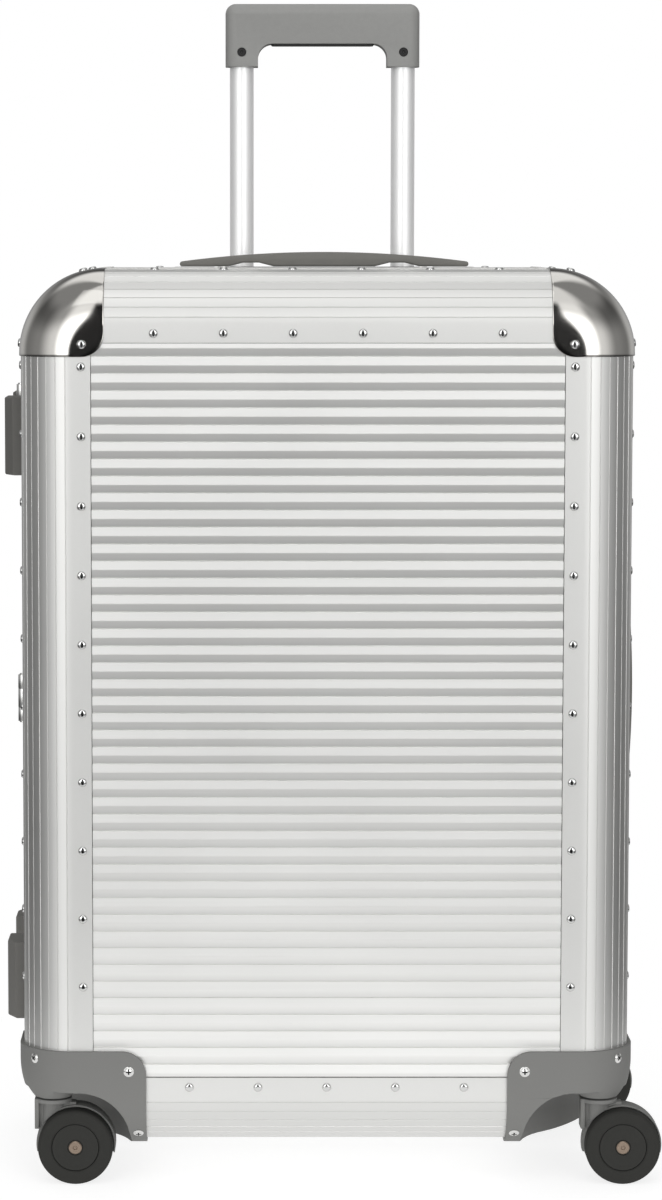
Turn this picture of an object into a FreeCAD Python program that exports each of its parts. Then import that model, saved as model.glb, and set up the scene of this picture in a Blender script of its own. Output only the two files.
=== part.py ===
import FreeCAD, Part
import math
import os
import Sketcher

# Hard shell suitcase on four swivel casters.
# Frame: millimetres, +Z up, origin on the floor under the middle of the shells.
# The lid is the front shell (-Y) and the base is the back shell (+Y). They meet at Y = 0.
# The hinges are on the -X side, the side handle and the latches on the +X side.

document = FreeCAD.newDocument("hard_shell_suitcase")
sheet = document.addObject("Spreadsheet::Sheet", "Dims")

DRIVING_DIMENSIONS = {
    "shells": {
        "body_width": 444.0,
        "body_height": 638.0,
        "body_depth": 255.0,
        "ground_clearance": 28.0,
        "corner_radius": 60.0,
        "edge_radius": 38.0,
        "split_gap": 0.6,
    },
    "edge profiles": {
        "profile_thickness": 2.0,
        "flange_width": 14.0,
    },
    "panels and bands": {
        "sheet_thickness": 1.2,
        "rib_pitch": 12.25,
        "rib_land": 6.1,
        "rib_height": 1.5,
        "groove_depth": 1.2,
        "first_groove_drop": 6.8,
        "band_rib_start": 3.0,
        "field_clearance": 0.3,
    },
    "closing frames": {
        "frame_depth": 14.0,
        "frame_wall": 8.2,
        "frame_rise": 1.2,
        "tongue_inset": 3.6,
        "tongue_width": 2.0,
        "tongue_height": 2.4,
        "tongue_clearance": 0.6,
        "groove_floor": 4.0,
        "seal_thickness": 1.6,
    },
    "corner caps": {
        "cap_length": 61.5,
        "cap_drop": 62.0,
        "cap_reach": 62.0,
        "cap_lap_radius": 16.0,
        "cap_thickness": 1.2,
    },
    "wheel housings": {
        "housing_length": 90.5,
        "housing_height": 71.5,
        "housing_radius": 18.0,
        "housing_rise": 3.0,
        "housing_sink": 3.0,
        "well_clearance": 8.0,
        "well_edge_radius": 28.0,
        "well_wall": 2.5,
        "boss_radius": 13.5,
        "boss_flare": 6.0,
        "boss_drop": 6.3,
    },
    "lining": {
        "lining_inset": 5.0,
        "lining_thickness": 1.5,
        "lining_dome_gap": 2.0,
        "hump_side_gap": 6.25,
        "hump_gap": 2.5,
    },
    "casters": {
        "swivel_reach_side": 16.0,
        "swivel_reach_face": 17.0,
        "wheel_radius": 27.5,
        "wheel_trail": 16.6,
        "wheel_set_width": 38.0,
        "wheel_gap": 12.0,
        "tyre_shoulder": 3.0,
        "tyre_inner_chamfer": 1.2,
        "hub_radius": 17.4,
        "hub_recess": 0.4,
        "axle_radius": 2.5,
        "axle_head_radius": 4.75,
        "running_clearance": 0.05,
        "stem_radius": 5.0,
        "stem_head_radius": 7.5,
        "stem_head_height": 2.0,
        "swivel_gap": 1.5,
        "swivel_head_gap": 0.4,
        "swivel_plate_height": 2.7,
        "fork_head_gap": 1.8,
        "fork_post_radius": 9.0,
        "fork_web": 9.6,
        "fork_flange": 3.0,
        "fork_flange_drop": 19.3,
        "fender_width": 16.0,
        "fender_gap": 0.6,
        "fender_thickness": 1.0,
        "fender_below_axle": 6.0,
        "fork_side_gap": 0.5,
    },
    "telescopic handle": {
        "tube_spacing": 124.0,
        "tube_inset": 27.0,
        "inner_tube_radius": 9.15,
        "tube_wall": 1.0,
        "tube_fit": 0.3,
        "inner_tube_length": 242.0,
        "middle_tube_length": 250.0,
        "outer_tube_foot": 20.0,
        "middle_tube_drop": 4.0,
        "outer_tube_clearance": 1.3,
        "grip_rise": 202.0,
        "grip_bar_height": 30.5,
        "grip_leg_height": 48.0,
        "grip_leg_width": 25.0,
        "grip_thickness": 25.0,
        "grip_corner_radius": 8.0,
        "grip_crotch_radius": 11.0,
        "grip_top_round": 8.5,
        "socket_depth": 14.0,
        "grip_screw_radius": 3.5,
        "grip_screw_depth": 4.0,
        "grip_screw_height": 11.0,
        "button_inset": 10.0,
        "button_width": 13.0,
        "button_height": 8.0,
        "button_proud": 1.5,
        "button_travel": 4.0,
        "button_clearance": 0.4,
        "bezel_margin": 7.0,
        "bezel_corner_radius": 6.0,
    },
    "strap handles": {
        "strap_length": 217.0,
        "strap_width": 24.0,
        "strap_thickness": 10.8,
        "strap_end_thickness": 3.6,
        "strap_centre": 28.0,
        "strap_pad_half": 38.0,
        "strap_gap_length": 34.0,
        "strap_gap_slope": 11.0,
        "strap_gap_lift": 2.8,
        "anchor_overlap": 26.0,
        "anchor_reach": 4.0,
        "anchor_margin": 1.5,
        "anchor_thickness": 2.0,
        "anchor_gap": 0.3,
    },
    "hinges": {
        "hinge_length": 35.0,
        "hinge_top_inset": 103.5,
        "hinge_bottom_inset": 96.5,
        "hinge_barrel_radius": 3.5,
        "hinge_pin_radius": 1.5,
        "hinge_axis_rise": 4.0,
        "hinge_leaf_depth": 11.5,
        "hinge_leaf_thickness": 1.8,
        "hinge_knuckle_gap": 0.3,
        "hinge_pin_head_radius": 2.4,
        "hinge_pin_head_height": 1.0,
        "hinge_centre_knuckle": 14.0,
        "hinge_swing_clearance": 0.5,
    },
    "bumper feet": {
        "foot_length": 57.0,
        "foot_height": 14.2,
        "foot_start": 36.0,
        "foot_flange_gap": 1.5,
        "foot_taper": 6.0,
        "foot_round": 1.5,
        "foot_top_inset": 121.5,
        "foot_bottom_inset": 113.5,
    },
    "latches": {
        "latch_inset": 119.0,
        "latch_width": 46.0,
        "latch_flange_gap": 12.0,
        "latch_plate_thickness": 1.5,
        "latch_plate_gap": 0.7,
        "latch_pivot_depth": 36.0,
        "latch_pivot_radius": 1.6,
        "latch_barrel_radius": 3.4,
        "latch_barrel_gap": 0.5,
        "latch_flap_thickness": 2.4,
        "latch_flap_reach": 12.5,
        "latch_flap_lift": 0.7,
        "latch_tab_height": 4.0,
        "latch_tab_length": 2.0,
        "latch_ear_width": 5.0,
        "latch_ear_gap": 0.3,
        "keeper_length": 9.5,
        "keeper_height": 3.0,
    },
    "fasteners": {
        "rivet_pitch": 50.0,
        "rivet_radius": 3.3,
        "rivet_height": 1.8,
        "rivet_edge": 7.0,
        "cap_rivet_edge": 9.0,
        "screw_radius": 3.75,
        "screw_height": 1.6,
        "screw_slot_length": 4.2,
        "screw_slot_width": 0.9,
        "screw_slot_depth": 1.0,
        "screw_top_inset": 6.8,
        "screw_front_inset": 13.5,
        "screw_front_drop": 14.5,
        "screw_leg_inset": 6.8,
    },
}


class Size:
    """A length, angle or count that carries its own formula in the sheet's cells."""

    def __init__(self, formula, number):
        self.formula = formula
        self.number = float(number)

    def joined(self, sign, other, number):
        return Size("(%s %s %s)" % (self.formula, sign, as_size(other).formula), number)

    def __add__(self, other):
        return self.joined("+", other, self.number + as_size(other).number)

    def __sub__(self, other):
        return self.joined("-", other, self.number - as_size(other).number)

    def __mul__(self, other):
        return self.joined("*", other, self.number * as_size(other).number)

    def __truediv__(self, other):
        return self.joined("/", other, self.number / as_size(other).number)

    def __neg__(self):
        return Size("(0 - %s)" % self.formula, -self.number)

    __radd__ = __add__
    __rmul__ = __mul__

    def __rsub__(self, other):
        return as_size(other) - self


def as_size(value):
    """A plain number as a Size, and a Size as it is."""
    return value if isinstance(value, Size) else Size(repr(float(value)), value)


def root(size):
    """The square root of a Size."""
    return Size("sqrt(%s)" % size.formula, size.number ** 0.5)


def whole(size):
    """The whole part of a Size."""
    return Size("floor(%s)" % size.formula, math.floor(size.number))


def bind(item, name, size):
    """Drive one property of an object from the sheet."""
    item.setExpression(name, as_size(size).formula)


DIM = {}
row = 1
for section, cells in DRIVING_DIMENSIONS.items():
    sheet.set("A%d" % row, section)
    row += 1
    for alias, amount in cells.items():
        sheet.set("A%d" % row, alias)
        sheet.set("B%d" % row, str(amount))
        sheet.setAlias("B%d" % row, alias)
        DIM[alias] = Size("Dims." + alias, amount)
        row += 1
document.recompute()

# ---------------------------------------------------------------------------
# Places that several pieces share
# ---------------------------------------------------------------------------

ZERO = as_size(0)
HALF = as_size(0.5)
BEYOND = as_size(20)
FIT = 0.001
half_width = DIM["body_width"] / 2
half_depth = DIM["body_depth"] / 2
bottom = DIM["ground_clearance"]
top = bottom + DIM["body_height"]
middle_height = bottom + DIM["body_height"] / 2
edge_radius = DIM["edge_radius"]
half_gap = DIM["split_gap"] / 2

flat_half_width = half_width - edge_radius
flat_bottom = bottom + edge_radius
flat_top = top - edge_radius
flat_depth = half_depth - edge_radius
field_half_width = flat_half_width - DIM["flange_width"]
field_bottom = flat_bottom + DIM["flange_width"]
field_top = flat_top - DIM["flange_width"]

housing_top = bottom + DIM["housing_height"]
housing_inner = half_width - DIM["housing_length"]
housing_back = half_depth - DIM["housing_length"]
swivel_x = half_width - edge_radius + DIM["swivel_reach_side"]
swivel_y = flat_depth + DIM["swivel_reach_face"]

wheel_radius = DIM["wheel_radius"]
trail = DIM["wheel_trail"]
half_set = DIM["wheel_set_width"] / 2
half_wheel_gap = DIM["wheel_gap"] / 2
fender_inner = wheel_radius + DIM["fender_gap"]
fender_outer = fender_inner + DIM["fender_thickness"]
fender_reach = trail + fender_outer
swing_radius = root(fender_reach * fender_reach + half_set * half_set)
plate_low = wheel_radius + fender_outer + DIM["fork_head_gap"]
plate_high = plate_low + DIM["swivel_plate_height"]
boss_foot = plate_high + DIM["swivel_gap"]
well_top = boss_foot + DIM["boss_drop"]
well_radius = swing_radius + DIM["well_clearance"]
ceiling_top = well_top + DIM["well_wall"]

sheet_outer = -DIM["profile_thickness"]
sheet_inner = sheet_outer - DIM["sheet_thickness"]
rib_outer = sheet_outer + DIM["rib_height"]
frame_inner = DIM["frame_rise"] - DIM["frame_wall"]

HOUSING_SKIN = DIM["housing_rise"]
CAP_SKIN = DIM["cap_thickness"]
LINING_SKIN = -DIM["lining_inset"]
CAVITY_SKIN = LINING_SKIN - DIM["lining_thickness"]

ALONG = {
    "X": FreeCAD.Rotation(FreeCAD.Vector(0, 1, 0), 90),
    "Y": FreeCAD.Rotation(FreeCAD.Vector(1, 0, 0), -90),
    "Z": FreeCAD.Rotation(),
}
SUBPARTS = []

# ---------------------------------------------------------------------------
# Small builders: each makes one object whose sizes come from the sheet
# ---------------------------------------------------------------------------


def place(item, x, y, z, rotation=FreeCAD.Rotation()):
    """Put an object's origin at a point that the sheet drives."""
    item.Placement = FreeCAD.Placement(FreeCAD.Vector(), rotation)
    for letter, size in zip("xyz", (x, y, z)):
        bind(item, "Placement.Base." + letter, size)


def box(name, low, high):
    """A block between two corners."""
    item = document.addObject("Part::Box", name)
    for side, start, end in zip(("Length", "Width", "Height"), low, high):
        bind(item, side, as_size(end) - start)
    place(item, *low)
    return item


def cylinder(name, axis, start, radius, length):
    """A cylinder that starts at a point and runs along X, Y or Z."""
    item = document.addObject("Part::Cylinder", name)
    bind(item, "Radius", radius)
    bind(item, "Height", length)
    place(item, *start, rotation=ALONG[axis])
    return item


def cone(name, start, low_radius, high_radius, height):
    """An upright cone frustum."""
    item = document.addObject("Part::Cone", name)
    bind(item, "Radius1", low_radius)
    bind(item, "Radius2", high_radius)
    bind(item, "Height", height)
    place(item, *start)
    return item


def cut(name, base, *tools):
    """The base with every tool taken away."""
    for index, tool in enumerate(tools):
        item = document.addObject("Part::Cut", "%s_cut%d" % (name, index))
        item.Base = base
        item.Tool = tool
        base = item
    return base


def fuse(name, *shapes):
    """Several shapes as one solid."""
    item = document.addObject("Part::MultiFuse", name + "_fuse")
    item.Shapes = list(shapes)
    item.Refine = True
    return item


def common(name, first, second):
    """What two shapes share."""
    item = document.addObject("Part::MultiCommon", name + "_common")
    item.Shapes = [first, second]
    return item


def group(name, pieces):
    """Separate solids kept as one sub-part."""
    item = document.addObject("Part::Compound", name + "_group")
    item.Links = list(pieces)
    return item


def mirror(name, source, letter):
    """A copy on the other side of the X = 0 or Y = 0 plane."""
    item = document.addObject("Part::Mirroring", name + "_mirror")
    item.Source = source
    item.Normal = FreeCAD.Vector(1, 0, 0) if letter == "X" else FreeCAD.Vector(0, 1, 0)
    return item


def keep(label, item):
    """Make an object a sub-part of the suitcase."""
    item.Label = label
    SUBPARTS.append(item)
    return item


def new_body(name):
    """An empty PartDesign body."""
    return document.addObject("PartDesign::Body", name)


def plane_of(body, role):
    """One of a body's own origin planes."""
    return next(o for o in body.Origin.OriginFeatures if o.Role == role)


def new_sketch(body, name, role, offset=ZERO):
    """A sketch on one of the body's origin planes, moved along the plane's normal."""
    item = body.newObject("Sketcher::SketchObject", name)
    item.AttachmentSupport = [(plane_of(body, role), "")]
    item.MapMode = "FlatFace"
    bind(item, "AttachmentOffset.Base.z", offset)
    return item


def pin_point(sketch, geometry, end, u, v):
    """Tie one end of a sketch element to driven coordinates."""
    for kind, size in (("DistanceX", u), ("DistanceY", v)):
        size = as_size(size)
        constraint = Sketcher.Constraint(kind, -1, 1, geometry, end, size.number)
        index = sketch.addConstraint(constraint)
        sketch.setExpression("Constraints[%d]" % index, size.formula)


def outline(sketch, corners):
    """A closed outline. Each corner is (u, v) or (u, v, radius) where an arc leaves it.

    A positive radius turns to the left on the way to the next corner, a negative one to the right.
    """
    count = len(corners)
    first = sketch.GeometryCount
    points = [FreeCAD.Vector(as_size(c[0]).number, as_size(c[1]).number, 0) for c in corners]
    for index, corner in enumerate(corners):
        start, end = points[index], points[(index + 1) % count]
        if len(corner) == 2:
            sketch.addGeometry(Part.LineSegment(start, end), False)
        else:
            sketch.addGeometry(arc_between(start, end, corner[2].number), False)
    for index, corner in enumerate(corners):
        following = (index + 1) % count
        own_end = 2 if forward(corner) else 1
        next_start = 1 if forward(corners[following]) else 2
        link = Sketcher.Constraint("Coincident", first + index, own_end, first + following, next_start)
        sketch.addConstraint(link)
    for index, corner in enumerate(corners):
        pin_point(sketch, first + index, 1 if forward(corner) else 2, corner[0], corner[1])
        if len(corner) == 3:
            radius = corner[2] if corner[2].number > 0 else -corner[2]
            number = sketch.addConstraint(Sketcher.Constraint("Radius", first + index, radius.number))
            sketch.setExpression("Constraints[%d]" % number, radius.formula)


def forward(corner):
    """Whether an element runs from its first point to its second (arcs always run left)."""
    return len(corner) == 2 or corner[2].number > 0


def arc_between(start, end, radius):
    """The short arc from start to end that turns left for a positive radius."""
    chord = end - start
    half_chord = chord.Length / 2
    rise = max(radius * radius - half_chord * half_chord, 0.0) ** 0.5
    left = FreeCAD.Vector(-chord.y, chord.x, 0).normalize()
    side = 1 if radius > 0 else -1
    centre = start + chord * 0.5 + left * (rise * side)
    to_start, to_end = start - centre, end - centre
    if side < 0:
        to_start, to_end = to_end, to_start
    low = FreeCAD.Vector(1, 0, 0).getAngle(to_start) * (1 if to_start.y >= 0 else -1)
    high = FreeCAD.Vector(1, 0, 0).getAngle(to_end) * (1 if to_end.y >= 0 else -1)
    circle = Part.Circle(centre, FreeCAD.Vector(0, 0, 1), abs(radius))
    return Part.ArcOfCircle(circle, low, high if high > low else high + 2 * math.pi)


def rectangle(sketch, left, low, right, high):
    """A square-cornered outline."""
    outline(sketch, [(left, low), (right, low), (right, high), (left, high)])


def rounded_rectangle(sketch, left, low, right, high, radius):
    """An outline with four equal round corners."""
    outline(
        sketch,
        [
            (left + radius, low),
            (right - radius, low, radius),
            (right, low + radius),
            (right, high - radius, radius),
            (right - radius, high),
            (left + radius, high, radius),
            (left, high - radius),
            (left, low + radius, radius),
        ],
    )


def shell_outline(sketch, skin):
    """The suitcase's front outline, grown by skin."""
    corner = DIM["corner_radius"] + skin
    rounded_rectangle(sketch, -half_width - skin, bottom - skin, half_width + skin, top + skin, corner)


def pad(body, sketch, name, length, reverse=False):
    """A pad, checked to have added material."""
    before = solid_volume(body)
    item = body.newObject("PartDesign::Pad", name)
    item.Profile = sketch
    item.Reversed = reverse
    bind(item, "Length", length)
    document.recompute()
    require(solid_volume(body) > before, name + " adds nothing")
    return item


def pocket(body, sketch, name, length, reverse=False):
    """A pocket, checked to have taken material away."""
    before = solid_volume(body)
    item = body.newObject("PartDesign::Pocket", name)
    item.Profile = sketch
    item.Reversed = reverse
    bind(item, "Length", length)
    document.recompute()
    require(solid_volume(body) < before, name + " cuts nothing")
    return item


def round_edges(body, name, radius, wanted):
    """A fillet on the edges of the body's tip that the wanted test picks."""
    base = body.Tip
    names = ["Edge%d" % (i + 1) for i, edge in enumerate(base.Shape.Edges) if wanted(edge)]
    item = body.newObject("PartDesign::Fillet", name)
    item.Base = (base, names)
    bind(item, "Radius", radius)
    document.recompute()
    require(item.Shape.isValid(), name + " is not a valid fillet")
    return item


def solid_volume(body):
    """A body's volume, or nothing before its first feature."""
    return 0.0 if body.Shape.isNull() else body.Shape.Volume


def require(condition, message):
    """Stop with a plain message."""
    if not condition:
        raise RuntimeError(message)


# ---------------------------------------------------------------------------
# Forms: the suitcase's outer shape at several skins, used to trim other pieces
# ---------------------------------------------------------------------------


def shell_form(name, skin):
    """The lid's solid outer shape, grown by skin, from the split to its front face."""
    body = new_body(name)
    profile = new_sketch(body, name + "_outline", "XZ_Plane")
    shell_outline(profile, as_size(skin))
    pad(body, profile, name + "_pad", half_depth + skin)
    face = -(half_depth + skin).number
    round_edges(
        body,
        name + "_round",
        edge_radius + skin,
        lambda edge: abs(edge.BoundBox.YMin - face) < FIT and abs(edge.BoundBox.YMax - face) < FIT,
    )
    return body


housing_form = shell_form("housing_form", HOUSING_SKIN)
cap_form = shell_form("cap_form", CAP_SKIN)
plain_form = shell_form("plain_form", ZERO)
housing_core = shell_form("housing_core", -DIM["housing_sink"])
lining_form = shell_form("lining_form", LINING_SKIN)
cavity_form = shell_form("cavity_form", CAVITY_SKIN)

# The block of space that a wheel housing takes from the lid's lower left corner.
corner_block = new_body("corner_block")
block_plan = new_sketch(corner_block, "block_plan", "XY_Plane", bottom - BEYOND)
rectangle(
    block_plan,
    -half_width - BEYOND,
    -half_depth - BEYOND,
    -housing_inner,
    -housing_back,
)
pad(corner_block, block_plan, "block_pad", DIM["housing_height"] + BEYOND)
block_tip = FreeCAD.Vector(-housing_inner.number, -housing_back.number, housing_top.number)
round_edges(
    corner_block,
    "block_round",
    DIM["housing_radius"],
    lambda edge: edge.distToShape(Part.Vertex(block_tip))[0] < FIT,
)
corner_block_right = mirror("corner_block_right", corner_block, "X")

# ---------------------------------------------------------------------------
# Panels, bands and frames
# ---------------------------------------------------------------------------


def front_panel(name):
    """The ribbed sheet of a shell's large face."""
    body = new_body(name + "_body")
    thickness = DIM["sheet_thickness"]
    sheet_plan = new_sketch(body, name + "_sheet", "XZ_Plane", half_depth + sheet_inner)
    rectangle(sheet_plan, -flat_half_width, flat_bottom, flat_half_width, flat_top)
    pad(body, sheet_plan, name + "_sheet_pad", thickness)
    gap = DIM["field_clearance"]
    field_plan = new_sketch(body, name + "_field", "XZ_Plane", half_depth + sheet_outer)
    edge = field_half_width - gap
    rectangle(field_plan, -edge, field_bottom + gap, edge, field_top - gap)
    pad(body, field_plan, name + "_field_pad", DIM["rib_height"])

    half_groove = (DIM["rib_pitch"] - DIM["rib_land"]) / 2
    depth = DIM["groove_depth"]
    groove_radius = (half_groove * half_groove + depth * depth) / (2 * depth)
    groove_plan = new_sketch(body, name + "_groove", "YZ_Plane", -edge)
    circle = Part.Circle(FreeCAD.Vector(), FreeCAD.Vector(0, 0, 1), groove_radius.number)
    groove_plan.addGeometry(circle, False)
    pin_point(
        groove_plan,
        0,
        3,
        -(half_depth + rib_outer - depth + groove_radius),
        field_top - DIM["first_groove_drop"],
    )
    number = groove_plan.addConstraint(Sketcher.Constraint("Radius", 0, groove_radius.number))
    groove_plan.setExpression("Constraints[%d]" % number, groove_radius.formula)
    groove = pocket(body, groove_plan, name + "_groove_cut", edge * 2, reverse=True)
    pattern = body.newObject("PartDesign::LinearPattern", name + "_grooves")
    pattern.Originals = [groove]
    pattern.Direction = (groove_plan, ["V_Axis"])
    pattern.Reversed = True
    room = field_top - field_bottom - gap - half_groove - DIM["first_groove_drop"]
    steps = whole(room / DIM["rib_pitch"])
    bind(pattern, "Length", DIM["rib_pitch"] * steps)
    bind(pattern, "Occurrences", steps + 1)
    body.Tip = pattern
    document.recompute()
    return cut(name, body, corner_block, corner_block_right)


def ring(body, name, depth, outer_skin, inner_skin):
    """The sketch of a ring that follows the suitcase's outline, at a depth from the split."""
    profile = new_sketch(body, name, "XZ_Plane", depth)
    shell_outline(profile, as_size(outer_skin))
    shell_outline(profile, as_size(inner_skin))
    return profile


def add_ring(body, name, depth, outer_skin, inner_skin, length):
    """A ring padded from its depth towards the front."""
    return pad(body, ring(body, name + "_outline", depth, outer_skin, inner_skin), name + "_pad", length)


def side_band(name):
    """The sheet that runs round a shell between its closing frame and its edge profiles."""
    body = new_body(name + "_body")
    start = DIM["frame_depth"]
    add_ring(body, name + "_sheet", start, sheet_outer, sheet_inner, flat_depth - start)
    rib_start = start + DIM["band_rib_start"]
    rib = add_ring(body, name + "_rib", rib_start, rib_outer, sheet_outer, DIM["rib_land"])
    pattern = body.newObject("PartDesign::LinearPattern", name + "_ribs")
    pattern.Originals = [rib]
    pattern.Direction = (rib.Profile[0], ["N_Axis"])
    steps = whole((flat_depth - DIM["flange_width"] - rib_start - DIM["rib_land"]) / DIM["rib_pitch"])
    bind(pattern, "Length", DIM["rib_pitch"] * steps)
    bind(pattern, "Occurrences", steps + 1)
    body.Tip = pattern
    document.recompute()
    return cut(name, body, corner_block, corner_block_right)


def closing_frame(name):
    """The plain ring of a closing frame."""
    body = new_body(name)
    add_ring(
        body, name + "_ring", half_gap, DIM["frame_rise"], frame_inner, DIM["frame_depth"] - half_gap
    )
    return body


half_tongue = DIM["tongue_width"] / 2
half_groove_width = half_tongue + DIM["tongue_clearance"]
tongue_centre = -DIM["tongue_inset"]

lid_panel = front_panel("lid_panel")
lid_band = side_band("lid_band")
lid_frame = closing_frame("lid_frame")
add_ring(
    lid_frame,
    "lid_tongue",
    half_gap - DIM["tongue_height"],
    tongue_centre + half_tongue,
    tongue_centre - half_tongue,
    DIM["tongue_height"],
)
base_frame_blank = closing_frame("base_frame_blank")
seal_groove = ring(
    base_frame_blank,
    "seal_groove",
    half_gap,
    tongue_centre + half_groove_width,
    tongue_centre - half_groove_width,
)
pocket(base_frame_blank, seal_groove, "seal_groove_cut", DIM["groove_floor"], reverse=True)
seal_body = new_body("seal_body")
add_ring(
    seal_body,
    "seal_ring",
    half_gap + DIM["groove_floor"] - DIM["seal_thickness"],
    tongue_centre + half_groove_width,
    tongue_centre - half_groove_width,
    DIM["seal_thickness"],
)

keep("lid_panel", lid_panel)
keep("base_panel", mirror("base_panel", lid_panel, "Y"))
keep("lid_band", lid_band)
keep("base_band", mirror("base_band", lid_band, "Y"))
keep("lid_frame", lid_frame)
keep("base_frame", mirror("base_frame", base_frame_blank, "Y"))
keep("base_seal", mirror("base_seal", seal_body, "Y"))

# ---------------------------------------------------------------------------
# Edge profiles: one extruded section on the sides, the top and the bottom
# ---------------------------------------------------------------------------


def edge_section(sketch, across, along):
    """The quarter-round section with its two flanges.

    across is the flat half width or height, measured from the sketch's centre line, and
    along is the flat depth. Both are negative in the sketch.
    """
    wall = DIM["profile_thickness"]
    flange = DIM["flange_width"]
    radius = edge_radius
    low, front = across - radius, along - radius
    outline(
        sketch,
        [
            (low, along, radius),
            (across, front),
            (across + flange, front),
            (across + flange, front + wall),
            (across, front + wall, -(radius - wall)),
            (low + wall, along),
            (low + wall, along + flange),
            (low, along + flange),
        ],
    )


left_blank = new_body("left_profile_body")
left_section = new_sketch(left_blank, "left_section", "XY_Plane", housing_top)
edge_section(left_section, -flat_half_width, -flat_depth)
pad(left_blank, left_section, "left_profile_pad", top - DIM["corner_radius"] - housing_top)

top_blank = new_body("top_profile_body")
top_reach = half_width - DIM["corner_radius"]
top_section = new_sketch(top_blank, "top_section", "YZ_Plane", -top_reach)
bottom_blank = new_body("bottom_profile_body")
bottom_section = new_sketch(bottom_blank, "bottom_section", "YZ_Plane", -housing_inner)


def level_section(sketch, level, side):
    """The same section for a level run: side is 1 at the top and -1 at the bottom."""
    wall = DIM["profile_thickness"]
    flange = DIM["flange_width"]
    front = -half_depth
    outer = level + edge_radius * side
    corners = [
        (front, level, edge_radius * -side),
        (-flat_depth, outer),
        (-flat_depth + flange, outer),
        (-flat_depth + flange, outer - wall * side),
        (-flat_depth, outer - wall * side, (edge_radius - wall) * side),
        (front + wall, level),
        (front + wall, level - flange * side),
        (front, level - flange * side),
    ]
    outline(sketch, corners)


level_section(top_section, flat_top, 1)
pad(top_blank, top_section, "top_profile_pad", top_reach * 2)
level_section(bottom_section, flat_bottom, -1)
pad(bottom_blank, bottom_section, "bottom_profile_pad", housing_inner * 2)

# ---------------------------------------------------------------------------
# Telescopic handle places, needed by the top profile
# ---------------------------------------------------------------------------

tube_x = DIM["tube_spacing"] / 2
tube_y = half_depth - DIM["tube_inset"]
fit = DIM["tube_fit"]
inner_outer = DIM["inner_tube_radius"]
inner_bore = inner_outer - DIM["tube_wall"]
middle_bore = inner_outer + fit
middle_outer = middle_bore + DIM["tube_wall"]
outer_bore = middle_outer + fit
outer_outer = outer_bore + DIM["tube_wall"]
middle_top = top - DIM["middle_tube_drop"]
outer_reach = tube_y + outer_outer - flat_depth
profile_bore = edge_radius - DIM["profile_thickness"]
profile_under = root(profile_bore * profile_bore - outer_reach * outer_reach)
outer_top = top - edge_radius + profile_under - DIM["outer_tube_clearance"]
grip_top = top + DIM["grip_rise"]
grip_bottom = grip_top - DIM["grip_leg_height"]
grip_under = grip_top - DIM["grip_bar_height"]


def tube_pair(name, low, high, outer, bore):
    """Two upright tubes, one each side of the middle."""
    tubes = []
    for side, sign in (("left", -1), ("right", 1)):
        start = (tube_x * sign, tube_y, low)
        wall = cylinder("%s_%s" % (name, side), "Z", start, outer, high - low)
        hole = cylinder("%s_%s_bore" % (name, side), "Z", start, bore, high - low)
        tubes.append(cut("%s_%s" % (name, side), wall, hole))
    return group(name, tubes)


def tube_holes(name, radius, low, high):
    """Clearance cylinders for the two tubes."""
    holes = []
    for side, sign in (("left", -1), ("right", 1)):
        start = (tube_x * sign, tube_y, low)
        holes.append(cylinder("%s_%s_hole" % (name, side), "Z", start, radius, high - low))
    return holes


base_top_blank = mirror("base_top", top_blank, "Y")
top_holes = tube_holes("top_profile", middle_outer + fit, flat_top - BEYOND, top + BEYOND)

keep("lid_profile_left", left_blank)
keep("lid_profile_right", mirror("lid_profile_right", left_blank, "X"))
base_left_profile = keep("base_profile_left", mirror("base_profile_left", left_blank, "Y"))
keep("base_profile_right", mirror("base_profile_right", base_left_profile, "X"))
keep("lid_profile_top", top_blank)
keep("base_profile_top", cut("base_profile_top", base_top_blank, *top_holes))
keep("lid_profile_bottom", bottom_blank)
keep("base_profile_bottom", mirror("base_profile_bottom", bottom_blank, "Y"))

# ---------------------------------------------------------------------------
# Corner caps and wheel housings
# ---------------------------------------------------------------------------

cap_zone = new_body("cap_zone")
cap_plan = new_sketch(cap_zone, "cap_plan", "XZ_Plane", half_depth - DIM["cap_reach"])
cap_inner = -(half_width - DIM["cap_length"])
cap_low = top - DIM["cap_drop"]
lap = DIM["cap_lap_radius"]
outline(
    cap_plan,
    [
        (-half_width - BEYOND, cap_low),
        (cap_inner - lap, cap_low, lap),
        (cap_inner, cap_low + lap),
        (cap_inner, top + BEYOND),
        (-half_width - BEYOND, top + BEYOND),
    ],
)
pad(cap_zone, cap_plan, "cap_zone_pad", DIM["cap_reach"] + BEYOND)
cap_shell = cut("cap_shell", cap_form, plain_form)
lid_cap_left = keep("lid_cap_left", common("lid_cap_left", cap_shell, cap_zone))
keep("lid_cap_right", mirror("lid_cap_right", lid_cap_left, "X"))
base_cap_left = keep("base_cap_left", mirror("base_cap_left", lid_cap_left, "Y"))
keep("base_cap_right", mirror("base_cap_right", base_cap_left, "X"))


def well_shape(name, skin):
    """The round-topped space a caster swings in, grown by skin."""
    body = new_body(name)
    plan = new_sketch(body, name + "_plan", "XY_Plane", bottom - BEYOND)
    circle = Part.Circle(FreeCAD.Vector(), FreeCAD.Vector(0, 0, 1), 1)
    plan.addGeometry(circle, False)
    pin_point(plan, 0, 3, -swivel_x, -swivel_y)
    radius = well_radius + skin
    number = plan.addConstraint(Sketcher.Constraint("Radius", 0, radius.number))
    plan.setExpression("Constraints[%d]" % number, radius.formula)
    pad(body, plan, name + "_pad", well_top - bottom + BEYOND + skin)
    ceiling = (well_top + skin).number
    round_edges(
        body,
        name + "_round",
        DIM["well_edge_radius"] + skin,
        lambda edge: abs(edge.BoundBox.ZMin - ceiling) < FIT and edge.BoundBox.XLength > 1,
    )
    return body


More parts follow.
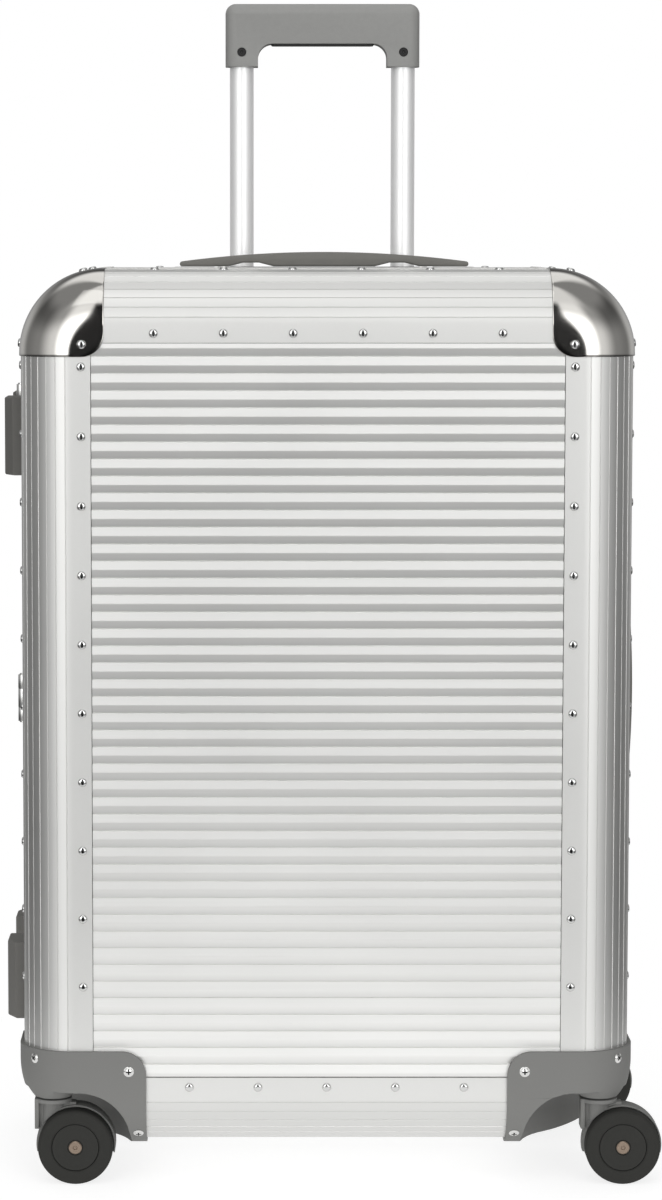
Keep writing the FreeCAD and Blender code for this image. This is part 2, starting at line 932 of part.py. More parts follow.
well_space = well_shape("well_space", ZERO)
well_skin = well_shape("well_skin", DIM["well_wall"])
housing_block = common("housing_block", housing_form, corner_block)
housing_hollow = cut("housing_hollow", housing_core, well_skin)
housing_walls = cut("housing_walls", housing_block, housing_hollow, well_space)
boss = cone(
    "housing_boss",
    (-swivel_x, -swivel_y, boss_foot),
    DIM["boss_radius"],
    DIM["boss_radius"] + DIM["boss_flare"],
    DIM["boss_drop"] + DIM["well_wall"] / 2,
)
stem_bore = cylinder(
    "housing_stem_bore",
    "Z",
    (-swivel_x, -swivel_y, bottom),
    DIM["stem_radius"],
    ceiling_top - bottom + BEYOND,
)
boss_in_form = common("housing_boss_trim", boss, housing_form)
housing_solid = fuse("housing_solid", housing_walls, boss_in_form)
lid_housing_left = keep("lid_housing_left", cut("lid_housing_left", housing_solid, stem_bore))
keep("lid_housing_right", mirror("lid_housing_right", lid_housing_left, "X"))
base_housing_left = keep("base_housing_left", mirror("base_housing_left", lid_housing_left, "Y"))
keep("base_housing_right", mirror("base_housing_right", base_housing_left, "X"))

# ---------------------------------------------------------------------------
# Linings
# ---------------------------------------------------------------------------


def dome_pair(name, skin):
    """The raised covers over a shell's two wheel wells."""
    radius = well_radius + DIM["well_wall"] + DIM["lining_dome_gap"] + skin
    low = bottom - BEYOND
    high = ceiling_top + DIM["stem_head_height"] + DIM["lining_dome_gap"] + skin
    domes = []
    for side, sign in (("left", -1), ("right", 1)):
        start = (swivel_x * sign, -swivel_y, low)
        domes.append(cylinder("%s_%s_dome" % (name, side), "Z", start, radius, high - low))
    return domes


wall = DIM["lining_thickness"]
lining_slab = box(
    "lining_slab",
    (-half_width, -half_depth, bottom),
    (half_width, -DIM["frame_depth"], top),
)
lining_outside = cut(
    "lining_outside", common("lining_tray", lining_form, lining_slab), *dome_pair("lining_outer", ZERO)
)
lining_inside = cut("lining_inside", cavity_form, *dome_pair("lining_inner", wall))
keep("lid_lining", cut("lid_lining", lining_outside, lining_inside))

hump_face = tube_y - outer_outer - DIM["hump_gap"]
hump_side = tube_x + outer_outer + DIM["hump_side_gap"]


def hump(name, skin):
    """The raised channel of the base lining, over the handle's tubes."""
    return box(
        name,
        (-(hump_side + skin), -half_depth, bottom - BEYOND),
        (hump_side + skin, -(hump_face - skin), top + BEYOND),
    )


base_outside = cut("base_lining_outside", lining_outside, hump("hump_outside", ZERO))
base_inside = cut("base_lining_inside", lining_inside, hump("hump_inside", wall))
base_lining_solid = cut("base_lining_solid", base_outside, base_inside)
keep("base_lining", mirror("base_lining", base_lining_solid, "Y"))

# ---------------------------------------------------------------------------
# Telescopic handle
# ---------------------------------------------------------------------------

outer_foot = bottom + DIM["outer_tube_foot"]
socket_top = grip_bottom + DIM["socket_depth"]
inner_foot = socket_top - DIM["inner_tube_length"]
middle_foot = middle_top - DIM["middle_tube_length"]
keep("handle_outer_tubes", tube_pair("outer_tubes", outer_foot, outer_top, outer_outer, outer_bore))
keep("handle_middle_tubes", tube_pair("middle_tubes", middle_foot, middle_top, middle_outer, middle_bore))
keep("handle_inner_tubes", tube_pair("inner_tubes", inner_foot, socket_top, inner_outer, inner_bore))

half_grip = tube_x + DIM["grip_leg_width"] / 2
inside_leg = half_grip - DIM["grip_leg_width"]
round_top = DIM["grip_corner_radius"]
crotch = DIM["grip_crotch_radius"]
grip_body = new_body("grip_body")
grip_plan = new_sketch(grip_body, "grip_plan", "XZ_Plane", -tube_y - DIM["grip_thickness"] / 2)
outline(
    grip_plan,
    [
        (-half_grip, grip_bottom),
        (-inside_leg, grip_bottom),
        (-inside_leg, grip_under - crotch, -crotch),
        (-inside_leg + crotch, grip_under),
        (inside_leg - crotch, grip_under, -crotch),
        (inside_leg, grip_under - crotch),
        (inside_leg, grip_bottom),
        (half_grip, grip_bottom),
        (half_grip, grip_top - round_top, round_top),
        (half_grip - round_top, grip_top),
        (-half_grip + round_top, grip_top, round_top),
        (-half_grip, grip_top - round_top),
    ],
)
pad(grip_body, grip_plan, "grip_pad", DIM["grip_thickness"])
grip_level = grip_top.number - round_top.number - FIT
round_edges(
    grip_body,
    "grip_top_round",
    DIM["grip_top_round"],
    lambda edge: edge.BoundBox.YLength < FIT
    and edge.BoundBox.ZMin > grip_level
    and edge.BoundBox.XLength > 1,
)
button_half = inside_leg - DIM["button_inset"]
button_gap = DIM["button_clearance"]
button_low = grip_under - DIM["button_proud"]
button_high = button_low + DIM["button_height"]
button_slot = box(
    "button_slot",
    (-button_half - button_gap, tube_y - DIM["button_width"] / 2 - button_gap, grip_under - BEYOND),
    (
        button_half + button_gap,
        tube_y + DIM["button_width"] / 2 + button_gap,
        button_high + DIM["button_travel"] + button_gap,
    ),
)
grip_sockets = tube_holes("grip", inner_outer, grip_bottom - BEYOND, socket_top)
grip_front = tube_y - DIM["grip_thickness"] / 2
screw_level = grip_bottom + DIM["grip_screw_height"]
grip_screw_holes = [
    cylinder(
        "grip_screw_hole_%s" % side,
        "Y",
        (tube_x * sign, grip_front, screw_level),
        DIM["grip_screw_radius"],
        DIM["grip_screw_depth"] / 2,
    )
    for side, sign in (("left", -1), ("right", 1))
]
keep("handle_grip", cut("handle_grip", grip_body, button_slot, *grip_sockets, *grip_screw_holes))

button_body = new_body("button_body")
button_plan = new_sketch(button_body, "button_plan", "XY_Plane", button_low)
button_side = DIM["button_width"] / 2
rounded_rectangle(
    button_plan, -button_half, tube_y - button_side, button_half, tube_y + button_side, button_side / 2
)
pad(button_body, button_plan, "button_pad", DIM["button_height"])
keep("handle_button", button_body)

bezel_margin = DIM["bezel_margin"] + outer_outer
bezel_zone = new_body("bezel_zone")
bezel_plan = new_sketch(bezel_zone, "bezel_plan", "XY_Plane", flat_top)
rounded_rectangle(
    bezel_plan,
    -tube_x - bezel_margin,
    -tube_y - bezel_margin,
    tube_x + bezel_margin,
    -tube_y + bezel_margin,
    DIM["bezel_corner_radius"],
)
pad(bezel_zone, bezel_plan, "bezel_zone_pad", edge_radius + BEYOND)
bezel_shell = mirror("bezel_shell", common("bezel_shell", cap_shell, bezel_zone), "Y")
bezel_holes = tube_holes("bezel", middle_outer + fit, flat_top, top + BEYOND)
keep("handle_bezel", cut("handle_bezel", bezel_shell, *bezel_holes))

# ---------------------------------------------------------------------------
# Strap handles: the same flexible strap on the top and on the right side
# ---------------------------------------------------------------------------

strap_half = DIM["strap_length"] / 2
strap_front = DIM["strap_centre"] - DIM["strap_width"] / 2
anchor_low = rib_outer
anchor_high = anchor_low + DIM["anchor_thickness"]
strap_low = anchor_high + DIM["anchor_gap"]


def strap_corners():
    """The strap's side view, as distance along it and height over the shell's face."""
    pad_half = DIM["strap_pad_half"]
    slope = DIM["strap_gap_slope"]
    far = pad_half + DIM["strap_gap_length"]
    raised = strap_low + DIM["strap_gap_lift"]
    end_top = strap_low + DIM["strap_end_thickness"]
    crown = DIM["strap_thickness"] - DIM["strap_end_thickness"]
    crown_radius = (strap_half * strap_half + crown * crown) / (2 * crown)
    right = [(pad_half, strap_low), (pad_half + slope, raised), (far - slope, raised), (far, strap_low)]
    left = [(-along, rise) for along, rise in reversed(right)]
    ends = [(strap_half, strap_low), (strap_half, end_top, crown_radius), (-strap_half, end_top)]
    return [(-strap_half, strap_low)] + left + right + ends


def turned(corner, level):
    """A corner of the top strap's side view, carried round to the right side."""
    along, rise = corner[0], corner[1]
    return (half_width + rise, level - along) + tuple(corner[2:])


def strap(name, corners):
    """A strap handle from its side view."""
    body = new_body(name + "_body")
    side_view = new_sketch(body, name + "_side", "XZ_Plane", -strap_front - DIM["strap_width"])
    outline(side_view, corners)
    pad(body, side_view, name + "_pad", DIM["strap_width"])
    return body


keep("top_handle", strap("top_handle", [(c[0], top + c[1]) + tuple(c[2:]) for c in strap_corners()]))
keep("side_handle", strap("side_handle", [turned(c, middle_height) for c in strap_corners()]))

anchor_start = strap_half - DIM["anchor_overlap"]
anchor_end = strap_half + DIM["anchor_reach"]
anchor_front = strap_front - DIM["anchor_margin"]
anchor_back = strap_front + DIM["strap_width"] + DIM["anchor_margin"]
strap_anchors = [
    box("anchor_top_right", (anchor_start, anchor_front, top + anchor_low),
        (anchor_end, anchor_back, top + anchor_high)),
    box("anchor_top_left", (-anchor_end, anchor_front, top + anchor_low),
        (-anchor_start, anchor_back, top + anchor_high)),
    box("anchor_side_up", (half_width + anchor_low, anchor_front, middle_height + anchor_start),
        (half_width + anchor_high, anchor_back, middle_height + anchor_end)),
    box("anchor_side_down", (half_width + anchor_low, anchor_front, middle_height - anchor_end),
        (half_width + anchor_high, anchor_back, middle_height - anchor_start)),
]
keep("strap_anchors", group("strap_anchors", strap_anchors))

# ---------------------------------------------------------------------------
# Hinges on the left side
# ---------------------------------------------------------------------------

leaf_inner = -(half_width + DIM["frame_rise"])
leaf_outer = leaf_inner - DIM["hinge_leaf_thickness"]
hinge_x = leaf_inner - DIM["hinge_axis_rise"]
half_hinge = DIM["hinge_length"] / 2
half_knuckle = DIM["hinge_centre_knuckle"] / 2
knuckle_gap = DIM["hinge_knuckle_gap"]
barrel = DIM["hinge_barrel_radius"]
pin = DIM["hinge_pin_radius"]
hinge_levels = {
    "low": bottom + DIM["hinge_bottom_inset"],
    "middle": middle_height + (DIM["hinge_bottom_inset"] - DIM["hinge_top_inset"]) / 2,
    "high": top - DIM["hinge_top_inset"],
}


def hinge_cylinder(name, level, start, end, radius):
    """A cylinder on the hinge axis, between two heights measured from the hinge's middle."""
    return cylinder(name, "Z", (hinge_x, ZERO, level + start), radius, as_size(end) - start)


def hinge_leaf(name, level, low, high, own, other, bore):
    """One leaf: its plate, its own knuckles, and room for the other leaf's knuckles."""
    near, far = (leaf_outer, low, level - half_hinge), (leaf_inner, high, level + half_hinge)
    plate = box(name + "_plate", near, far)
    swing = barrel + DIM["hinge_swing_clearance"]
    room = [
        hinge_cylinder("%s_room%d" % (name, i), level, start - knuckle_gap, end + knuckle_gap, swing)
        for i, (start, end) in enumerate(other)
    ]
    knuckles = [
        hinge_cylinder("%s_knuckle%d" % (name, i), level, start, end, barrel)
        for i, (start, end) in enumerate(own)
    ]
    solid = fuse(name, cut(name + "_plate_cut", plate, *room), *knuckles)
    hole = hinge_cylinder(name + "_bore", level, -half_hinge, half_hinge, bore)
    return cut(name, solid, hole)


centre_knuckle = [(-half_knuckle, half_knuckle)]
outer_knuckles = [
    (-half_hinge, -(half_knuckle + knuckle_gap)),
    (half_knuckle + knuckle_gap, half_hinge),
]
base_leaves, lid_leaves, hinge_pins = [], [], []
for place_name, level in hinge_levels.items():
    name = "hinge_" + place_name
    base_leaves.append(
        hinge_leaf(name + "_base", level, half_gap, DIM["hinge_leaf_depth"], outer_knuckles,
                   centre_knuckle, pin)
    )
    lid_leaves.append(
        hinge_leaf(name + "_lid", level, -DIM["hinge_leaf_depth"], -half_gap, centre_knuckle,
                   outer_knuckles, pin + DIM["running_clearance"])
    )
    head = DIM["hinge_pin_head_height"]
    head_radius = DIM["hinge_pin_head_radius"]
    hinge_pins.append(
        fuse(
            name + "_pin",
            hinge_cylinder(name + "_shank", level, -half_hinge - head, half_hinge + head, pin),
            hinge_cylinder(name + "_head", level, half_hinge, half_hinge + head, head_radius),
            hinge_cylinder(name + "_tail", level, -half_hinge - head, -half_hinge, head_radius),
        )
    )
keep("hinge_base_leaves", group("hinge_base_leaves", base_leaves))
keep("hinge_lid_leaves", group("hinge_lid_leaves", lid_leaves))
keep("hinge_pins", group("hinge_pins", hinge_pins))

# ---------------------------------------------------------------------------
# Bumper feet on the left side
# ---------------------------------------------------------------------------

foot_inner = -(half_width + rib_outer)
foot_outer = foot_inner - DIM["foot_height"]
foot_near = -DIM["foot_start"]
foot_far = -(flat_depth - DIM["flange_width"] - DIM["foot_flange_gap"])
taper = DIM["foot_taper"]


def bumper_foot(name, level):
    """One rubber foot, tapered towards the shell's large face."""
    body = new_body(name)
    plan = new_sketch(body, name + "_plan", "XY_Plane", level - DIM["foot_length"] / 2)
    outline(
        plan,
        [
            (foot_inner, foot_near),
            (foot_outer, foot_near),
            (foot_outer, foot_far + taper * 2),
            (foot_outer + taper, foot_far),
            (foot_inner, foot_far),
        ],
    )
    pad(body, plan, name + "_pad", DIM["foot_length"])
    inner = foot_inner.number
    round_edges(body, name + "_round", DIM["foot_round"], lambda edge: edge.BoundBox.XMax < inner - FIT)
    return body


lid_feet = keep(
    "lid_feet",
    group(
        "lid_feet",
        [
            bumper_foot("foot_upper", top - DIM["foot_top_inset"]),
            bumper_foot("foot_lower", bottom + DIM["foot_bottom_inset"]),
        ],
    ),
)
keep("base_feet", mirror("base_feet", lid_feet, "Y"))

# ---------------------------------------------------------------------------
# Flap latches on the right side
# ---------------------------------------------------------------------------

seat = half_width + rib_outer
plate_top = seat + DIM["latch_plate_thickness"]
barrel_radius = DIM["latch_barrel_radius"]
pivot_x = plate_top + DIM["latch_barrel_gap"] + barrel_radius
pivot_y = DIM["latch_pivot_depth"]
half_latch = DIM["latch_width"] / 2
ear_inside = half_latch - DIM["latch_ear_width"]
half_flap = ear_inside - DIM["latch_ear_gap"]
plate_front = DIM["frame_depth"] + DIM["latch_plate_gap"]
plate_back = flat_depth - DIM["flange_width"] - DIM["latch_flange_gap"]
flap_low = half_width + DIM["frame_rise"] + DIM["latch_flap_lift"]
flap_tip = -DIM["latch_flap_reach"]
keeper_near = -plate_front
latch_levels = {
    "upper": top - DIM["latch_inset"],
    "lower": bottom + DIM["latch_inset"],
}


def latch_plate(name, level):
    """The plate on the base shell, with two ears and the pivot pin."""
    plate = box(
        name + "_plate",
        (seat, plate_front, level - half_latch),
        (plate_top, plate_back, level + half_latch),
    )
    parts = [plate]
    for side, low in (("up", ear_inside), ("down", -half_latch)):
        ear_start = (pivot_x, pivot_y, level + low)
        ear = cylinder("%s_ear_%s" % (name, side), "Z", ear_start, barrel_radius, DIM["latch_ear_width"])
        foot = box(
            "%s_ear_foot_%s" % (name, side),
            (plate_top, pivot_y - barrel_radius, level + low),
            (pivot_x, pivot_y + barrel_radius, level + low + DIM["latch_ear_width"]),
        )
        parts += [ear, foot]
    parts.append(
        cylinder(name + "_pin", "Z", (pivot_x, pivot_y, level - half_latch),
                 DIM["latch_pivot_radius"], DIM["latch_width"])
    )
    return fuse(name, *parts)


def latch_flap(name, level):
    """The flap that folds over the closing frames."""
    low, high = level - half_flap, level + half_flap
    plate = box(name + "_plate", (flap_low, flap_tip, low),
                (flap_low + DIM["latch_flap_thickness"], pivot_y, high))
    tab = box(name + "_tab", (flap_low, flap_tip, low),
              (flap_low + DIM["latch_tab_height"], flap_tip + DIM["latch_tab_length"], high))
    barrel_part = cylinder(name + "_barrel", "Z", (pivot_x, pivot_y, low), barrel_radius, half_flap * 2)
    bore = cylinder(name + "_bore", "Z", (pivot_x, pivot_y, low),
                    DIM["latch_pivot_radius"] + DIM["running_clearance"], half_flap * 2)
    return cut(name, fuse(name, plate, tab, barrel_part), bore)


def latch_keeper(name, level):
    """The block on the lid that the flap's tip meets."""
    return box(name, (seat, keeper_near - DIM["keeper_length"], level - half_flap),
               (seat + DIM["keeper_height"], keeper_near, level + half_flap))


latch_plates = [latch_plate("plate_" + n, z) for n, z in latch_levels.items()]
latch_keepers = [latch_keeper("keeper_" + n, z) for n, z in latch_levels.items()]
keep("latch_plates", group("latch_plates", latch_plates))
for side_name, level in latch_levels.items():
    keep("latch_flap_" + side_name, latch_flap("flap_" + side_name, level))
keep("latch_keepers", group("latch_keepers", latch_keepers))

# ---------------------------------------------------------------------------
# Rivets and screws: domed heads that sit on the surface they hold
# ---------------------------------------------------------------------------


def dome(name, radius, height):
    """A domed head whose flat side is at z = 0 of its own frame, as a sphere's cap."""
    ball = (radius * radius + height * height) / (2 * height)
    sunk = ball - height
    item = document.addObject("Part::Sphere", name)
    bind(item, "Radius", ball)
    latitude = Size("asin(%s)" % (sunk / ball).formula, math.degrees(math.asin((sunk / ball).number)))
    bind(item, "Angle1", latitude)
    return item, sunk


def facing(normal):
    """The rotation that turns +Z to a normal given as three Sizes or numbers."""
    vector = FreeCAD.Vector(*[as_size(n).number for n in normal])
    return FreeCAD.Rotation(FreeCAD.Vector(0, 0, 1), vector)


def rivet(name, point, normal):
    """One rivet head on a surface point, facing along the normal."""
    item, sunk = dome(name, DIM["rivet_radius"], DIM["rivet_height"])
    centre = [as_size(p) - as_size(n) * sunk for p, n in zip(point, normal)]
    place(item, *centre, rotation=facing(normal))
    return item


def steps_within(length):
    """How many rivet pitches fit in a length, less the rivet's own radius."""
    return math.floor(((length - DIM["rivet_radius"]) / pitch).number)


def along_edge(places, across):
    """The spots of a level row: one on the large face and one on the edge's own side."""
    face_level, side_level, normal = across
    spots = []
    for place_x in places:
        spots.append(((place_x, -half_depth, face_level), (0, -1, 0)))
        spots.append(((place_x, flange_y, side_level), (0, 0, normal)))
    return spots


rivet_line = DIM["rivet_edge"]
pitch = DIM["rivet_pitch"]
flange_y = -(flat_depth - rivet_line)
side_places = range(-steps_within(middle_height - housing_top), steps_within(cap_low - middle_height) + 1)
side_spots = []
for step in side_places:
    level = middle_height + pitch * step
    for sign in (-1, 1):
        side_spots.append((((flat_half_width - rivet_line) * sign, -half_depth, level), (0, -1, 0)))
        side_spots.append(((half_width * sign, flange_y, level), (sign, 0, 0)))

cap_inside = -cap_inner
half_steps = range(steps_within(cap_inside - pitch / 2) + 1)
top_places = [(pitch * step + pitch / 2) * sign for step in half_steps for sign in (-1, 1)]
bottom_steps = steps_within(housing_inner)
bottom_places = [pitch * step for step in range(-bottom_steps, bottom_steps + 1)]
top_spots = along_edge(top_places, (flat_top - rivet_line, top, 1))
bottom_spots = along_edge(bottom_places, (flat_bottom + rivet_line, bottom, -1))

cap_rivet_x = cap_inside + DIM["cap_lap_radius"]
cap_rivet_z = cap_low + DIM["cap_rivet_edge"]
corner_x = half_width - DIM["corner_radius"]
corner_z = top - DIM["corner_radius"]
cap_radius = DIM["corner_radius"] + CAP_SKIN
top_lean = (cap_rivet_x - corner_x) / DIM["corner_radius"]
top_rise = root(1 - top_lean * top_lean)
side_rise = (cap_rivet_z - corner_z) / DIM["corner_radius"]
side_lean = root(1 - side_rise * side_rise)
cap_spots = []
for sign in (-1, 1):
    cap_spots.append(((cap_rivet_x * sign, -half_depth - CAP_SKIN, cap_rivet_z), (0, -1, 0)))
    for lean, rise in ((top_lean, top_rise), (side_lean, side_rise)):
        spot = ((corner_x + lean * cap_radius) * sign, flange_y, corner_z + rise * cap_radius)
        cap_spots.append((spot, (lean * sign, 0, rise)))


def rivet_group(name, spots):
    """All the rivets of one shell."""
    return group(name, [rivet("%s_%d" % (name, index), *spot) for index, spot in enumerate(spots)])


def clear_of_bezel(spot):
    """Whether a spot of the lid has a twin on the base that the handle's bezel leaves free."""
    (x, _, z), normal = spot
    reach = tube_x + bezel_margin + DIM["rivet_radius"]
    return normal != (0, 0, 1) or abs(x.number) > reach.number


shared_spots = side_spots + bottom_spots + cap_spots
keep("lid_rivets", rivet_group("lid_rivet", shared_spots + top_spots))
base_spots = shared_spots + [spot for spot in top_spots if clear_of_bezel(spot)]
keep("base_rivets", mirror("base_rivets", rivet_group("base_rivet", base_spots), "Y"))


def cross_screw(name, point, normal):
    """One cross-slotted screw head on a surface point."""
    head, sunk = dome(name + "_head", DIM["screw_radius"], DIM["screw_height"])
    place(head, ZERO, ZERO, -sunk)
    half_long = DIM["screw_slot_length"] / 2
    half_wide = DIM["screw_slot_width"] / 2
    floor = DIM["screw_height"] - DIM["screw_slot_depth"]
    slots = [
        box(name + "_slot_a", (-half_long, -half_wide, floor), (half_long, half_wide, BEYOND)),
        box(name + "_slot_b", (-half_wide, -half_long, floor), (half_wide, half_long, BEYOND)),
    ]
    item = cut(name, head, *slots)
    place(item, *[as_size(p) for p in point], rotation=facing(normal))
    return item


DIAGONAL = root(HALF)
housing_round = edge_radius + HOUSING_SKIN
housing_corner = DIM["corner_radius"] + HOUSING_SKIN
slant = DIAGONAL * housing_round
corner_slant = DIAGONAL * housing_corner
screw_row = housing_top - DIM["screw_front_drop"]
screw_spots = [
    ((-flat_half_width - slant, -flat_depth - slant, housing_top - DIM["screw_top_inset"]),
     (-DIAGONAL, -DIAGONAL, 0)),
    ((-housing_inner - DIM["screw_front_inset"], -half_depth - HOUSING_SKIN, screw_row), (0, -1, 0)),
    ((-half_width - HOUSING_SKIN, -housing_back - DIM["screw_front_inset"], screw_row), (-1, 0, 0)),
    ((-housing_inner - DIM["screw_leg_inset"], -flat_depth - slant, flat_bottom - slant),
     (0, -DIAGONAL, -DIAGONAL)),
    ((-corner_x - corner_slant, -housing_back - DIM["screw_leg_inset"],
      bottom + DIM["corner_radius"] - corner_slant),
     (-DIAGONAL, 0, -DIAGONAL)),
]
left_screws = group(
    "left_screws", [cross_screw("screw_%d" % i, *spot) for i, spot in enumerate(screw_spots)]
)
right_screws = mirror("right_screws", left_screws, "X")
lid_screws = keep("lid_screws", group("lid_screws", [left_screws, right_screws]))
keep("base_screws", mirror("base_screws", lid_screws, "Y"))

# ---------------------------------------------------------------------------
# Casters: four the same, all trailing to +X
# ---------------------------------------------------------------------------

hub = DIM["hub_radius"]
stem = DIM["stem_radius"] - DIM["running_clearance"]


def caster_fork(name, x, y):
    """The swivelling fork: stem, plate, post, web between the wheels, and fender."""
    wheel_x = x + trail
    web = DIM["fork_web"] / 2
    fender = DIM["fender_width"] / 2
    radius = DIM["boss_radius"]
    flange_foot = plate_low - DIM["fork_flange_drop"]
    low = wheel_radius - DIM["fender_below_axle"]
    stem_top = ceiling_top + DIM["swivel_head_gap"]

    plate = cylinder(name + "_plate", "Z", (x, y, plate_low), radius, DIM["swivel_plate_height"])
    stem_part = cylinder(name + "_stem", "Z", (x, y, plate_high), stem, stem_top - plate_high)
    stem_head = cylinder(name + "_stem_head", "Z", (x, y, stem_top), DIM["stem_head_radius"],
                         DIM["stem_head_height"])
    post = cylinder(name + "_post", "Z", (x, y, flange_foot), DIM["fork_post_radius"],
                    plate_low - flange_foot)
    flange = box(name + "_flange", (x - radius, y - fender, flange_foot),
                 (x - radius + DIM["fork_flange"], y + fender, plate_high))
    side_web = box(name + "_side_web", (x - radius, y - web, flange_foot), (wheel_x, y + web, plate_low))
    disc = cylinder(name + "_disc", "Y", (wheel_x, y - web, wheel_radius), fender_outer, web * 2)
    rim = cylinder(name + "_rim", "Y", (wheel_x, y - fender, wheel_radius), fender_outer, fender * 2)
    rim_hole = cylinder(name + "_rim_hole", "Y", (wheel_x, y - fender, wheel_radius), fender_inner,
                        fender * 2)
    upper = box(name + "_upper", (x, y - fender, low), (wheel_x + fender_outer, y + fender, plate_high))
    fender_part = common(name + "_fender", cut(name + "_rim", rim, rim_hole), upper)
    web_zone = box(name + "_web_zone", (x - radius, y - web, low),
                   (wheel_x + fender_outer, y + web, plate_high))
    web_part = common(name + "_web", disc, web_zone)
    solid = fuse(name, plate, stem_part, stem_head, post, flange, side_web, fender_part, web_part)
    room = half_wheel_gap - DIM["fork_side_gap"]
    front_room = cylinder(name + "_front_room", "Y", (wheel_x, y - half_set, wheel_radius),
                          fender_inner, half_set - room)
    back_room = cylinder(name + "_back_room", "Y", (wheel_x, y + room, wheel_radius),
                         fender_inner, half_set - room)
    bore = cylinder(name + "_bore", "Y", (wheel_x, y - half_set, wheel_radius),
                    DIM["axle_radius"] + DIM["running_clearance"], half_set * 2)
    return cut(name, solid, front_room, back_room, bore)


def caster_hubs(name, x, y):
    """The axle with its two hubs and its riveted ends."""
    wheel_x = x + trail
    face = half_set - DIM["hub_recess"]
    parts = [
        cylinder(name + "_axle", "Y", (wheel_x, y - half_set, wheel_radius), DIM["axle_radius"],
                 half_set * 2),
        cylinder(name + "_hub_front", "Y", (wheel_x, y - face, wheel_radius), hub,
                 face - half_wheel_gap),
        cylinder(name + "_hub_back", "Y", (wheel_x, y + half_wheel_gap, wheel_radius), hub,
                 face - half_wheel_gap),
        cylinder(name + "_end_front", "Y", (wheel_x, y - half_set, wheel_radius),
                 DIM["axle_head_radius"], DIM["hub_recess"]),
        cylinder(name + "_end_back", "Y", (wheel_x, y + face, wheel_radius),
                 DIM["axle_head_radius"], DIM["hub_recess"]),
    ]
    return fuse(name, *parts)


def tyre(name, x, y, side):
    """One tyre, turned about the axle, with a rounded outer shoulder."""
    body = new_body(name)
    section = new_sketch(body, name + "_section", "XY_Plane")
    shoulder = DIM["tyre_shoulder"]
    chamfer = DIM["tyre_inner_chamfer"]
    outline(
        section,
        [
            (hub, half_wheel_gap),
            (wheel_radius - chamfer, half_wheel_gap),
            (wheel_radius, half_wheel_gap + chamfer),
            (wheel_radius, half_set - shoulder, shoulder),
            (wheel_radius - shoulder, half_set),
            (hub, half_set),
        ],
    )
    turn = body.newObject("PartDesign::Revolution", name + "_turn")
    turn.Profile = section
    turn.ReferenceAxis = (section, ["V_Axis"])
    turn.Angle = 360
    half_turn = FreeCAD.Rotation(FreeCAD.Vector(0, 0, 1), 0 if side > 0 else 180)
    place(body, x + trail, y, wheel_radius, half_turn)
    return body


for shell_name, y_sign in (("front", -1), ("back", 1)):
    for side_name, x_sign in (("left", -1), ("right", 1)):
        name = "caster_%s_%s" % (shell_name, side_name)
        x, y = swivel_x * x_sign, swivel_y * y_sign
        keep(name + "_fork", caster_fork(name + "_fork", x, y))
        keep(name + "_hubs", caster_hubs(name + "_hubs", x, y))
        tyres = [tyre("%s_tyre_%s" % (name, n), x, y, s) for n, s in (("inner", 1), ("outer", -1))]
        keep(name + "_tyres", group(name + "_tyres", tyres))


document.recompute()
for item in document.Objects:
    bad = [state for state in item.State if state in ("Invalid", "Error")]
    require(not bad, "%s is %s" % (item.Label, bad))
os.makedirs("parts", exist_ok=True)
for item in SUBPARTS:
    shape = item.Shape
    require(not shape.isNull() and shape.isValid(), item.Label + " has no valid shape")
    shape.exportStep("parts/%s.step" % item.Label)
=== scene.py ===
"""The looks of a riveted metal suitcase on casters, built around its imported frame.

Lengths are metres in the frame's own axes: +Z up, the lid towards -Y, the side handle towards +X.
"""

import logging
import math
from collections.abc import Iterable, Sequence
from dataclasses import dataclass, field
from enum import Enum

import bmesh
import bpy
import numpy as np
from mathutils import Matrix, Vector


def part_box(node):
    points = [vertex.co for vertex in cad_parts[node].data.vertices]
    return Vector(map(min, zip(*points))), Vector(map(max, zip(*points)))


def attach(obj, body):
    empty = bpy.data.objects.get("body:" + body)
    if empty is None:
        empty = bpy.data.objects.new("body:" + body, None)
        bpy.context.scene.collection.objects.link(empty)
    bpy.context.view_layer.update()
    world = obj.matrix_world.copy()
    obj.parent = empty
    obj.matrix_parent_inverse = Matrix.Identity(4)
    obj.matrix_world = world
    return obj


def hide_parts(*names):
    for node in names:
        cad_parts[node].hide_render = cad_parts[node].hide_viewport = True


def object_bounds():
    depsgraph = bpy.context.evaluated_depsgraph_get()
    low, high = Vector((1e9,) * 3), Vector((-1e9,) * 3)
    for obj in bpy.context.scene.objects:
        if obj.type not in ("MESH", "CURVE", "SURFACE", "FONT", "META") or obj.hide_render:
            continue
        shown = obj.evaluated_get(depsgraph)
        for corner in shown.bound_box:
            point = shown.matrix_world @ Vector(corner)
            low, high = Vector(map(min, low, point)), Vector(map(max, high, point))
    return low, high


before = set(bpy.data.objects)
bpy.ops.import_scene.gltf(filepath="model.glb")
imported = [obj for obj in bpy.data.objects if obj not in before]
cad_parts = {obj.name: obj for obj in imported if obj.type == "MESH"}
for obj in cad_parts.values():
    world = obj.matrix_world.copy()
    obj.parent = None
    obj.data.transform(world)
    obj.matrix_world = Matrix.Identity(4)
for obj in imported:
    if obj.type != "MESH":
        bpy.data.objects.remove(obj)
CAD_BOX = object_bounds()

LOG = logging.getLogger("suitcase")
MM = 0.001
MERGE = 0.00001
SHARP = math.radians(32)
HALF_TURN = 180.0

Pair = tuple[float, float]
Colour = tuple[float, float, float]
Ring = Sequence[Vector]
Object = bpy.types.Object
Node = bpy.types.Node
Nodes = bpy.types.Nodes
Links = bpy.types.NodeLinks
Socket = bpy.types.NodeSocket


